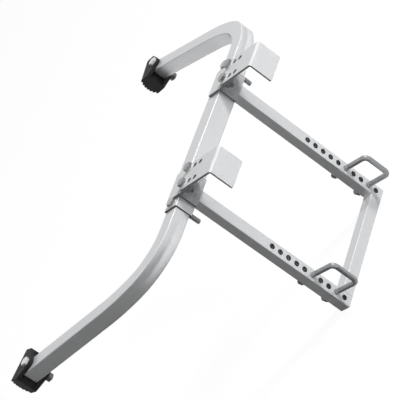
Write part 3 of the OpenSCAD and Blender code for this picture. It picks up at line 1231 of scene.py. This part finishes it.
@dataclass
class Bracket:
    """Shelf plate, back plate and bolted hook plate of one side.

    The bolt holes stand in two rows, row_gap apart, and the hook can be moved by hole_pitch.
    """

    x: float = 131.0
    width: float = 64.0
    top_t: float = 5.0
    front: float = 31.0
    shelf_back: float = 38.0
    back_t: float = 5.0
    corner: float = 1.0
    welded_corner: float = 0.5
    hook_t: float = 4.0
    hook_w: float = 63.0
    hook_front: float = 12.6
    hook_reach: float = 107.0
    hook_drop: float = 54.0
    hook_bend: float = 5.5
    hook_bend_steps: int = 12
    hook_corner: float = 1.2
    hook_tip_corner: float = 2.6
    row_gap: float = 37.0
    hole_pitch: float = 17.0
    hole_count: int = 3
    bolt_back: float = 20.0
    bolt_length: float = 25.0
    bolt_thread: float = 20.0
    twist: float = -12.0
    twist_by_side: float = -3.0
    twist_by_bolt: float = 5.0

    @property
    def shelf_top(self) -> float:
        """Height of the shelf's upper face."""
        return SLEEVE_HALF + self.top_t

    def holes(self, first: float, count: int) -> list[list[Point]]:
        """Bolt holes of a plate.

        Args:
            first: Place of each row's first hole along Y.
            count: Holes in a row.

        Returns:
            Points round each hole.
        """
        return [
            circle(row * self.row_gap / 2, first + i * self.hole_pitch, M10.hole_r)
            for row in (-1, 1) for i in range(count)
        ]

    def hook_plate(self) -> Solid:
        """L-shaped plate: a flat blank with rounded corners and holes, bent down at its back.

        Returns:
            The plate, in its place on the right.
        """
        middle_r = self.hook_bend - self.hook_t / 2
        flat = self.hook_reach - self.hook_bend - self.hook_front
        arc = middle_r * math.pi / 2
        length = flat + arc + self.hook_drop - self.hook_bend
        blank = plate(
            self.hook_w / 2, (0, self.hook_corner), (length, self.hook_tip_corner), self.hook_t,
            self.holes(self.bolt_back - self.hook_front, self.hole_count),
        )
        mesh = blank.mesh
        for i in range(self.hook_bend_steps + 1):
            bmesh.ops.bisect_plane(
                mesh, geom=[*mesh.verts, *mesh.edges, *mesh.faces], dist=1e-5,
                plane_co=Y * (flat + arc * i / self.hook_bend_steps), plane_no=Y,
            )
        for v in mesh.verts:
            beyond = v.co.y - flat
            if beyond > 0:
                turn = min(1.0, beyond / arc) * math.pi / 2
                rest = max(0.0, beyond - arc)
                r = middle_r + v.co.z - self.hook_t / 2
                v.co.y = flat + r * math.sin(turn) + rest * math.cos(turn)
                v.co.z = self.hook_t / 2 - middle_r + r * math.cos(turn) - rest * math.sin(turn)
        # The blank's +Y runs to the ladder, which is -Y in the frame
        place = Matrix.Translation((self.x, -self.hook_front, self.shelf_top))
        return blank.move(place @ Matrix.Diagonal((1, -1, 1, 1)))

    def build(self) -> None:
        """Makes both brackets with their bolts."""
        half, back_end = self.width / 2, (-self.shelf_back, self.corner)
        for side in Side:
            shelf = plate(
                half, back_end, (self.front, self.corner), self.top_t,
                self.holes(-self.bolt_back, 1),
            )
            shelf.move(Matrix.Translation((self.x, 0, SLEEVE_HALF)))
            back = plate(
                half, (-SLEEVE_HALF, self.corner), (SLEEVE_HALF, self.welded_corner), self.back_t
            )
            back.move(Matrix.Translation((self.x, 0, 0)) @ turned(x=90))
            # The rear plate is drawn in the greyer sheet: painted shade for the shelf's and hook's
            # shadow
            for name, solid, finish, replaces in (
                ("shelf_plate", shelf, BLASTED_SHEET, "top_plate"),
                ("rear_plate", back, SHADE_DARKENED_SHEET, "back_plate"),
                ("rung_hook", self.hook_plate(), BLASTED_SHEET, "hook_plate"),
            ):
                place_piece(
                    name, solid, (finish, RAW_CUT), replaces, Slot.ALUMINIUM, side, mirror=True
                )
            self.build_bolts(side)

    def build_bolts(self, side: Side) -> None:
        """Makes the two hook bolts of a side with their washers and nuts.

        Args:
            side: The side.
        """
        bolts, washers, nuts = Solid(), Solid(), Solid()
        for number, row in enumerate((-1, 1)):
            x = side.value * (self.x + row * self.row_gap / 2)
            at = Matrix.Translation((x, -self.bolt_back, self.shelf_top))
            angle = self.twist + self.twist_by_side * side.value + number * self.twist_by_bolt
            head, nut = self.hook_t + M10.washer_t, -self.top_t - M10.nut_shape.height
            bolt = M10.bolt(self.bolt_length, self.bolt_thread)
            bolts.add(bolt.move(at @ raised(head) @ turned(z=angle)))
            washers.add(M10.washer().move(at @ raised(self.hook_t)))
            nuts.add(M10.nut().move(at @ raised(nut) @ turned(z=angle)))
        # Washers in the near-white plate are painted highlight; nuts in the darker plate are
        # painted shade
        for name, solid, finish in (
            ("bolts", bolts, ZINC_PLATE), ("washers", washers, HIGHLIGHT_PALE_PLATE),
            ("nuts", nuts, SHADE_DARKENED_PLATE),
        ):
            place_piece(f"rung_hook_{name}", solid, (finish,), f"hook_{name}", Slot.ZINC, side)


@dataclass
class Weld:
    """Fillet weld between two faces, with the ripples of the puddle.

    Attributes:
        size: Leg of the fillet.
        ripple: Distance between two ripples.
        rows: Rings to a ripple.
        steps: Pieces across the face.
        root: How far the bead reaches into the corner.
        swell: Height of the ripples, as a share of the size.
        wander: Slow change of the size along the bead, as a share.
        wander_rate: Speed of that change, in radians to a millimetre.
        end_share: Size of the bead's ends, as a share.
        end_length: Length over which the ends grow, in sizes.
        chord: Depth of the face's middle if it were flat, as a share.
        crown: How much the face crowns, as a share.
        full: Share that stands for the fillet's nominal size.
        lag: How far the middle of the face lags behind its edges, as the puddle did.
    """

    size: float = 3.5
    ripple: float = 1.9
    rows: int = 5
    steps: int = 6
    root: float = 0.4
    swell: float = 0.10
    wander: float = 0.04
    wander_rate: float = 1.7
    end_share: float = 0.35
    end_length: float = 0.6
    chord: float = 0.80
    crown: float = 0.06
    full: float = 0.86
    lag: float = 0.5

    def bead(self, start: Vector, end: Vector, one: Vector, other: Vector) -> Solid:
        """One bead.

        Args:
            start: One end of the corner line.
            end: The other end.
            one: Direction along the first face, away from the corner.
            other: Direction along the second face.

        Returns:
            The bead.
        """
        length = (end - start).length
        along = (end - start) / length
        count = max(6, round(length / self.ripple * self.rows))
        rings = []
        for k in range(count + 1):
            s = length * k / count
            swell = 1 + self.swell * math.cos(math.tau * s / self.ripple)
            swell += self.wander * math.sin(self.wander_rate * s)
            inset = min(s, length - s)
            grown = min(1.0, self.end_share + inset / (self.end_length * self.size))
            ring = [start + along * s - (one + other) * self.root]
            for i in range(self.steps + 1):
                a = math.radians(90 * i / self.steps)
                sin, cos = math.sin(a), math.cos(a)
                spread = self.size * grown
                if 0 < i < self.steps:
                    crown = self.chord + self.crown * math.sin(2 * a)
                    spread = spread * swell * (crown / (cos + sin) / self.full)
                reach = s - self.lag * math.sin(2 * a)
                ring.append(start + along * reach + one * spread * cos + other * spread * sin)
            rings.append(ring)
        return Solid().loft(rings)


@dataclass
class LowerFrame:
    """Two drilled legs, the crossbar between them and their welds."""

    tube: SquareTube = field(default_factory=lambda: SquareTube(25.0, 2.0, 1.2))
    weld: Weld = field(default_factory=Weld)
    leg_x: float = 133.3
    leg_length: float = 370.6
    hole_foot: float = 17.4
    hole_pitch: float = 20.0
    hole_count: int = 10
    hole_d: float = 11.2
    countersink: float = 0.25
    sleeve_corner: float = 2.3

    @property
    def bottom(self) -> float:
        """Height of the legs' lower ends."""
        return -SLEEVE_HALF - self.leg_length

    def hole_height(self, number: int) -> float:
        """Height of a cross hole, counted from the top one, which is number 0."""
        return self.bottom + self.hole_foot + (self.hole_count - 1 - number) * self.hole_pitch

    def drill(self) -> Solid:
        """Cutting tool for a leg's cross holes, with small countersinks in both faces.

        Returns:
            The tool.
        """
        half, r, c = self.tube.width / 2, self.hole_d / 2, self.countersink
        rim = r + c + PAST
        profile = [(rim, -half - PAST), (r, -half + c), (r, half - c), (rim, half + PAST)]
        tool = Solid()
        for number in range(self.hole_count):
            at = Matrix.Translation((self.leg_x, half, self.hole_height(number)))
            tool.add(Solid().lathe(profile, 36, area=Area.DRILLED).move(at @ turned(x=90)))
        return tool

    def build(self, bracket: Bracket) -> None:
        """Makes the legs, the crossbar and the weld beads.

        Args:
            bracket: The bracket whose shelf is welded to its back plate.
        """
        half = self.tube.width / 2
        for side in Side:
            leg = self.tube.straight(
                Vector((self.leg_x, half, self.bottom)), Vector((self.leg_x, half, -SLEEVE_HALF))
            )
            leg.combine(self.drill(), Combine.CUT)
            # The walls of the holes are drawn near black: painted shade inside the holes
            place_piece(
                "drilled_leg", leg, (SATIN_TUBE, BORE_SKIN, SHADE_DARKENED_CUT), "leg", Slot.ALUMINIUM,
                side, mirror=True,
            )
            place_piece(
                "fillet_welds", self.beads(bracket), (WELD_METAL,), "weld_beads", Slot.ALUMINIUM,
                side, mirror=True,
            )
        end, height = self.leg_x - half, self.bottom + half
        bar = self.tube.straight(Vector((-end, half, height)), Vector((end, half, height)))
        place_piece("lower_crossbar", bar, (SATIN_TUBE, RAW_CUT), "crossbar", Slot.ALUMINIUM)

    def beads(self, bracket: Bracket) -> Solid:
        """Right-hand beads: three round the leg's top, at the crossbar and under the shelf.

        Args:
            bracket: The bracket whose shelf is welded to its back plate.

        Returns:
            The beads.
        """
        wide, top, bar_top = self.tube.width, -SLEEVE_HALF, self.bottom + self.tube.width
        inner, outer = self.leg_x - wide / 2, self.leg_x + wide / 2
        shelf = bracket.width / 2 - self.weld.size
        runs = (
            ((inner, wide, top), (outer, wide, top), Y, DOWN),
            ((inner, self.sleeve_corner, top), (inner, wide, top), -X, DOWN),
            ((outer, self.sleeve_corner, top), (outer, wide, top), X, DOWN),
            ((inner, self.tube.corner, bar_top), (inner, wide - self.tube.corner, bar_top), -X, Z),
            ((bracket.x - shelf, -bracket.back_t, SLEEVE_HALF),
             (bracket.x + shelf, -bracket.back_t, SLEEVE_HALF), -Y, DOWN),
        )
        beads = Solid()
        for start, end, one, other in runs:
            beads.add(self.weld.bead(Vector(start), Vector(end), one, other))
        return beads


@dataclass
class UBolt:
    """Square U-bolt that clamps a lower rung to a leg, with washers and nuts."""

    thread: Thread = field(default_factory=lambda: Thread(11.0, 1.75))
    bolts: BoltSet = field(default_factory=lambda: BoltSet(nut_bore=10.2, washer_bore=11.2))
    depth: float = 61.0
    corner: float = 11.0
    corner_steps: int = 12
    tail: float = 16.5
    threaded: float = 34.0
    thread_rows: int = 100
    run_out: float = 0.5
    tip_bevel: float = 1.0
    upper_hole: int = 5
    lower_hole: int = 8
    twist: float = 14.0
    twist_by_nut: float = 31.0

    def path(self, low: float, high: float, front: float) -> list[tuple[Vector, Vector, float]]:
        """Places along the rod, from its lower end to its upper one.

        Args:
            low: Height of the lower hole.
            high: Height of the upper hole.
            front: Place of the rod's ends along Y.

        Returns:
            For each place its y and z, its direction and its distance from the rod's end.
        """
        turn_y, c, rows = self.corner - self.depth, self.corner, self.thread_rows
        angles = [math.radians(90 * i / self.corner_steps) for i in range(self.corner_steps + 1)]
        along = [self.threaded * i / rows for i in range(rows + 1)]
        places = [((front - s, low), (-1, 0)) for s in along]
        for a in angles:
            sin, cos = math.sin(a), math.cos(a)
            places.append(((turn_y - c * sin, low + c * (1 - cos)), (-cos, sin)))
        for a in angles:
            sin, cos = math.sin(a), math.cos(a)
            places.append(((turn_y - c * cos, high - c * (1 - sin)), (sin, cos)))
        places += [((front - s, high), (1, 0)) for s in reversed(along)]
        result = []
        for spot, direction in places:
            p = Vector((0, *spot))
            result.append((p, Vector((0, *direction)), min(front - p.y, self.threaded)))
        return result

    def rod(self, x: float, low: float, high: float, front: float) -> Solid:
        """The bent rod with a thread at each end.

        Args:
            x: Place of the rod along the sleeve.
            low: Height of the lower hole.
            high: Height of the upper hole.
            front: Place of the rod's ends along Y.

        Returns:
            The rod.
        """
        rings = []
        for place, direction, from_end in self.path(low, high, front):
            out = direction.cross(X)
            ring = []
            for i in range(self.thread.steps):
                a = math.tau * i / self.thread.steps
                r = self.thread.major / 2
                if from_end < self.threaded - self.run_out:
                    height = from_end if place.z < (low + high) / 2 else -from_end
                    bevel = max(0.0, self.tip_bevel - from_end)
                    r = min(self.thread.radius(a, height), r - bevel)
                ring.append(place + X * x + X * r * math.cos(a) + out * r * math.sin(a))
            rings.append(ring)
        return Solid().loft(rings)

    def build(self, lower: LowerFrame) -> None:
        """Makes both U-bolts.

        Args:
            lower: The legs whose holes they go through.
        """
        high, low = lower.hole_height(self.upper_hole), lower.hole_height(self.lower_hole)
        face = lower.tube.width
        for side in Side:
            x = side.value * lower.leg_x
            washers, nuts = Solid(), Solid()
            for number, z in enumerate((high, low)):
                at = Matrix.Translation((x, face, z)) @ turned(x=-90)
                washers.add(self.bolts.washer().move(at))
                twist = turned(z=self.twist + self.twist_by_nut * number)
                nuts.add(self.bolts.nut().move(at @ raised(self.bolts.washer_t) @ twist))
            # The nuts are drawn in the darker plate: painted shade behind the legs
            for name, solid, finish, replaces in (
                ("bent_rod", self.rod(x, low, high, face + self.tail), PLATED_ROD, "u_bolt"),
                ("bent_rod_washers", washers, ZINC_PLATE, "u_washers"),
                ("bent_rod_nuts", nuts, SHADE_DARKENED_PLATE, "u_nuts"),
            ):
                place_piece(
                    name, solid, (finish,), replaces, Slot.ZINC, side, body=f"u_bolt_{side.tag}"
                )


@dataclass
class Foot:
    """Swivelling rubber foot with a ridged sole, on its M10 bolt."""

    width: float = 69.0
    back: float = 12.5
    sole: float = 44.0
    height: float = 48.0
    edge: float = 0.7
    edge_steps: int = 2
    edge_above: float = 25.0
    ear_t: float = 7.8
    ear_r: float = 13.0
    ear_steps: int = 28
    sole_r: float = 35.0
    ridge_pitch: float = 7.0
    ridge_depth: float = 2.0
    ridge_land: float = 3.0
    bolt_length: float = 60.0
    bolt_thread: float = 18.0
    twist_by_side: float = 8.0

    def sole_at(self, z: float) -> float:
        """Distance of the sole's curve from the foot bolt, at a height."""
        return self.sole - self.sole_r + math.sqrt(self.sole_r**2 - z**2)

    def side_view(self) -> list[Point]:
        """Outline of the block and its two ears, seen along the foot's width.

        Returns:
            Points of depth and height.
        """
        half = self.height / 2
        inner, reach = half - self.ear_t, -self.ear_r - 2 * PAST
        low = self.sole_at(half) - self.ridge_depth
        points = [
            (reach, half), (reach, inner), (self.back, inner), (self.back, -inner),
            (reach, -inner), (reach, -half), (low, -half),
        ]
        land, flank = self.ridge_land / 2, self.ridge_depth / 2
        count = 2 * math.floor((half - land) / self.ridge_pitch) + 1
        for i in range(count):
            z = (i - (count - 1) / 2) * self.ridge_pitch
            crest = self.sole_at(z)
            points += [
                (crest - self.ridge_depth, z - land - flank), (crest, z - land), (crest, z + land),
                (crest - self.ridge_depth, z + land + flank),
            ]
        return [*points, (low, half)]

    def plan(self) -> list[Point]:
        """Outline of an ear and the block, seen from above, drawn well past the sole.

        Returns:
            Points of depth and width.
        """
        half, past = self.width / 2, self.sole + 5 * PAST
        tangent = math.atan2(half, self.back) + math.acos(self.ear_r / math.hypot(self.back, half))
        points = [(past, -half), (past, half), (self.back, half)]
        for i in range(self.ear_steps + 1):
            a = tangent + (math.tau - 2 * tangent) * i / self.ear_steps
            points.append((self.ear_r * math.cos(a), self.ear_r * math.sin(a)))
        return [*points, (self.back, -half)]

    def rubber(self) -> Solid:
        """The moulded foot in its own frame, with +X to the wall.

        Returns:
            The foot.
        """
        side = [[Vector((x, y, z)) for x, z in self.side_view()] for y in (-self.width, self.width)]
        top = [[Vector((x, y, z)) for x, y in self.plan()] for z in (-self.height, self.height)]
        body = Solid().loft(side).combine(Solid().loft(top), Combine.KEEP_COMMON)
        body.soften(self.edge, self.edge_steps, self.edge_above)
        hole = pin(Vector(), M10.tight_r, -self.height, self.height, Area.SKIN)
        return body.combine(hole, Combine.CUT)

    def build(self, arm: Arm) -> None:
        """Makes both feet with their bolts.

        Args:
            arm: The arm that carries them.
        """
        half = self.height / 2
        for side in Side:
            at, twist = arm.at_foot(side), turned(z=side.value * self.twist_by_side)
            place_piece(
                "ridged_foot", self.rubber().move(at), (MOULDED_RUBBER,), "rubber_foot",
                Slot.RUBBER, side, body=f"foot_{side.tag}",
            )
            bolt = M10.bolt(self.bolt_length, self.bolt_thread)
            below = at @ raised(-half) @ turned(x=180)
            # The bolt's near-white plate is painted highlight; the nut's darker plate is painted
            # shade
            for name, solid, place, finish in (
                ("bolt", bolt, at @ raised(half) @ twist, HIGHLIGHT_PALE_PLATE),
                ("washer", M10.washer(), below, ZINC_PLATE),
                ("nut", M10.nut(), below @ raised(M10.washer_t) @ twist, SHADE_DARKENED_PLATE),
            ):
                solid.move(place)
                place_piece(f"swivel_{name}", solid, (finish,), f"foot_{name}", Slot.ZINC, side)


@dataclass(frozen=True)
class Card:
    """Card beside the object that shows only in its reflections.

    Attributes:
        name: Name of the card.
        tone: Its colour.
        corners: Its corners on the floor, in metres.
        power: Its brightness, where 1 is that of its plain colour.
        top: Height of a standing card, or 0 for one that lies.
        LIFT: Height of its lower edge above the floor.
    """

    name: str
    tone: str
    corners: tuple[Point, ...]
    power: float = 1.0
    top: float = 0.0
    LIFT: ClassVar[float] = 0.002

    def build(self, floor_z: float) -> None:
        """Makes the card on a floor of a given height.

        Args:
            floor_z: Height of the floor.
        """
        made = bpy.data.materials.new(self.name)
        tree = empty_tree(made)
        glow = {"Color": linear(self.tone), "Strength": self.power}
        light = add_node(tree, "ShaderNodeEmission", glow)
        add_node(tree, "ShaderNodeOutputMaterial", {"Surface": light.outputs["Emission"]})
        spots = [(x, y, self.LIFT) for x, y in self.corners]
        if self.top:
            spots += [(x, y, self.top) for x, y in reversed(self.corners)]
        data = bpy.data.meshes.new(self.name)
        data.from_pydata(spots, [], [tuple(range(len(spots)))])
        data.materials.append(made)
        card = add_object(self.name, data)
        card.location.z = floor_z
        for ray in ("camera", "diffuse", "transmission", "volume_scatter", "shadow"):
            setattr(card, f"visible_{ray}", False)


CARDS = (
    # Beside the left end: dark for the faces that look to -X, and a little lighter farther out
    Card("dark_card_lying", "5F5F5F",
         ((0.12, 0.0), (0.12, 0.28), (-0.4, 0.95), (-0.75, 1.5), (-1.0, 3.0), (-1.05, 3.0),
          (-1.05, -0.13), (-0.16, 0.0))),
    Card("dim_card_lying", "696969",
         ((-1.05, 3.0), (-4.5, 3.0), (-4.5, -0.6), (-1.15, -0.15), (-1.05, -0.13))),
    Card("grey_card_lying", "7D7D7D",
         ((-0.16, 0.0), (-1.15, -0.15), (-4.5, -0.6), (-4.5, -3.5), (-0.75, -1.15),
          (-0.2, -0.3))),
    # In front, for the faces that look to the camera
    Card("front_card_lying", "D4D4D4",
         ((-0.16, 0.0), (0.35, 0.0), (0.85, -0.62), (4.5, -0.62), (4.5, -6.0), (-4.5, -6.0),
          (-4.5, -3.5), (-0.75, -1.15), (-0.2, -0.3))),
    # Upright on the left, for what the -X faces reflect above the floor
    Card("dark_card_standing", "9B9B9B", ((-1.7, -0.3), (-1.7, 2.2)), top=0.95),
    # Behind, for the bright band in the arms' inner walls
    Card("bright_card_lying", "FFFFFF",
         ((-0.25, 1.0), (0.36, 0.85), (0.5, 2.3), (-0.3, 2.4)), power=1.38),
    # To the right, so that the outer wall of that arm's bend keeps its tone
    Card("bend_card_lying", "B8B8B8",
         ((0.6, -0.25), (0.87, -0.6), (2.8, -0.6), (2.8, 2.6), (0.75, 2.6), (0.5, 0.9))),
)


@dataclass(frozen=True)
class Lamp:
    """Square soft box that points at the object.

    Attributes:
        name: Name of the lamp.
        direction: Direction in which it stands, seen from the object.
        distance: How far it stands, in metres.
        size: Width of the box, in metres.
        power: Power in watts.
        shine: True for a lamp that only makes the glints, False for one that makes none.
    """

    name: str
    direction: tuple[float, float, float]
    distance: float
    size: float
    power: float
    shine: bool

    def build(self) -> None:
        """Makes the lamp."""
        data = bpy.data.lights.new(self.name, "AREA")
        data.shape, data.size, data.energy = "SQUARE", self.size, self.power
        lamp = add_object(self.name, data)
        place = Vector(self.direction).normalized() * self.distance
        lamp.location = place
        lamp.rotation_mode = "QUATERNION"
        lamp.rotation_quaternion = place.to_track_quat("Z", "Y")
        lamp.visible_glossy, lamp.visible_diffuse = self.shine, not self.shine


LAMPS = (
    Lamp("key_box", (0.42, -0.69, 0.59), 6.0, 1.15, 355.0, shine=False),
    Lamp("fill_box", (0.2, -0.65, 0.7), 5.0, 4.5, 163.0, shine=False),
    Lamp("edge_box", (0.58, -0.33, 0.74), 4.0, 1.2, 34.0, shine=True),
)


@dataclass
class Studio:
    """Floor, world and camera, which takes the photograph's view.

    Attributes:
        floor_z: Height of the floor, in metres.
        floor_half: Half the floor's width, in metres.
        floor_glow: Brightness of the floor where it is seen.
        floor_share: Share of that glow in what is seen; the rest takes the object's shadow.
        light: Strength of the world as a light.
        shine: Strength of the world in the object's reflections.
        lens: Focal length of the camera, in millimetres.
        sensor: Width of its sensor, in millimetres.
        clip: Nearest and farthest distance that it sees, in metres.
        place: Place of the camera, in metres.
        right: Direction to the picture's right.
        up: Direction to the picture's top.
        back: Direction from the object to the camera.
    """

    floor_z: float = -0.3905
    floor_half: float = 20.0
    floor_glow: float = 1.10
    floor_share: float = 0.86
    light: float = 0.11
    shine: float = 0.755
    lens: float = 147.855
    sensor: float = 36.0
    clip: Span = (0.05, 100.0)
    place: tuple[float, float, float] = (-1.8847, -2.2021, 0.9625)
    right: tuple[float, float, float] = (0.2845, -0.5698, -0.7709)
    up: tuple[float, float, float] = (0.7591, -0.3573, 0.5442)
    back: tuple[float, float, float] = (-0.5855, -0.7400, 0.3309)

    def build_floor(self) -> None:
        """Makes a painted floor that stays white where it is seen and keeps a soft shadow."""
        made = bpy.data.materials.new("white_studio_floor")
        tree = empty_tree(made)
        rays = add_node(tree, "ShaderNodeLightPath").outputs
        paint = add_node(tree, "ShaderNodeBsdfDiffuse", {"Color": linear("BFBFBF")})
        glow = add_node(tree, "ShaderNodeEmission", {"Color": WHITE, "Strength": self.floor_glow})
        seen = rays["Is Camera Ray"]
        for kind in ("Glossy", "Transmission"):
            either = {0: seen, 1: rays[f"Is {kind} Ray"]}
            seen = add_node(tree, "ShaderNodeMath", either, operation="MAXIMUM").outputs["Value"]
        share = add_node(
            tree, "ShaderNodeMath", {0: seen, 1: self.floor_share}, operation="MULTIPLY"
        )
        mixed = add_node(
            tree, "ShaderNodeMixShader",
            {0: share.outputs["Value"], 1: paint.outputs["BSDF"], 2: glow.outputs["Emission"]},
        )
        add_node(tree, "ShaderNodeOutputMaterial", {"Surface": mixed.outputs["Shader"]})
        half = self.floor_half
        data = bpy.data.meshes.new("studio_floor")
        corners = [(-half, -half, 0), (half, -half, 0), (half, half, 0), (-half, half, 0)]
        data.from_pydata(corners, [], [(0, 1, 2, 3)])
        data.materials.append(made)
        floor = add_object("studio_floor", data)
        floor.location.z = self.floor_z

    def build_world(self) -> None:
        """Sets the world: white where it is seen, and an even dim light otherwise."""
        world = bpy.data.worlds.new("soft_studio")
        bpy.context.scene.world = world
        tree = empty_tree(world)
        rays = add_node(tree, "ShaderNodeLightPath").outputs
        light, shine, seen = (
            add_node(tree, "ShaderNodeBackground", {"Color": WHITE, "Strength": strength})
            .outputs["Background"] for strength in (self.light, self.shine, 1.0)
        )
        either = add_node(
            tree, "ShaderNodeMath", {0: rays["Is Camera Ray"], 1: rays["Is Transmission Ray"]},
            operation="MAXIMUM",
        )
        lit = add_node(
            tree, "ShaderNodeMixShader", {0: rays["Is Glossy Ray"], 1: light, 2: shine}
        )
        mixed = add_node(
            tree, "ShaderNodeMixShader",
            {0: either.outputs["Value"], 1: lit.outputs["Shader"], 2: seen},
        )
        add_node(tree, "ShaderNodeOutputWorld", {"Surface": mixed.outputs["Shader"]})

    def build_camera(self) -> None:
        """Sets the camera where the photograph was taken from."""
        data = bpy.data.cameras.new("photo_camera")
        data.sensor_width, data.lens = self.sensor, self.lens
        data.clip_start, data.clip_end = self.clip
        camera = add_object("photo_camera", data)
        axes = Matrix((self.right, self.up, self.back)).transposed()
        camera.rotation_mode = "QUATERNION"
        camera.rotation_quaternion = axes.to_quaternion()
        camera.location = self.place
        bpy.context.scene.camera = camera

    def build(self) -> None:
        """Makes everything that isn't part of the object."""
        self.build_floor()
        for card in CARDS:
            card.build(self.floor_z)
        self.build_world()
        for lamp in LAMPS:
            lamp.build()
        self.build_camera()
        bpy.context.scene.view_settings.view_transform = "Standard"


def main() -> None:
    """Builds the sub-assemblies in order, then the studio."""
    logging.basicConfig(level=logging.INFO, format="%(name)s: %(message)s")
    sleeve, arm, bracket, lower = Sleeve(), Arm(), Bracket(), LowerFrame()
    sleeve.build()
    arm.build(sleeve)
    lower.build(bracket)
    bracket.build()
    UBolt().build(lower)
    Foot().build(arm)
    Studio().build()


if __name__ == "__main__":
    main()
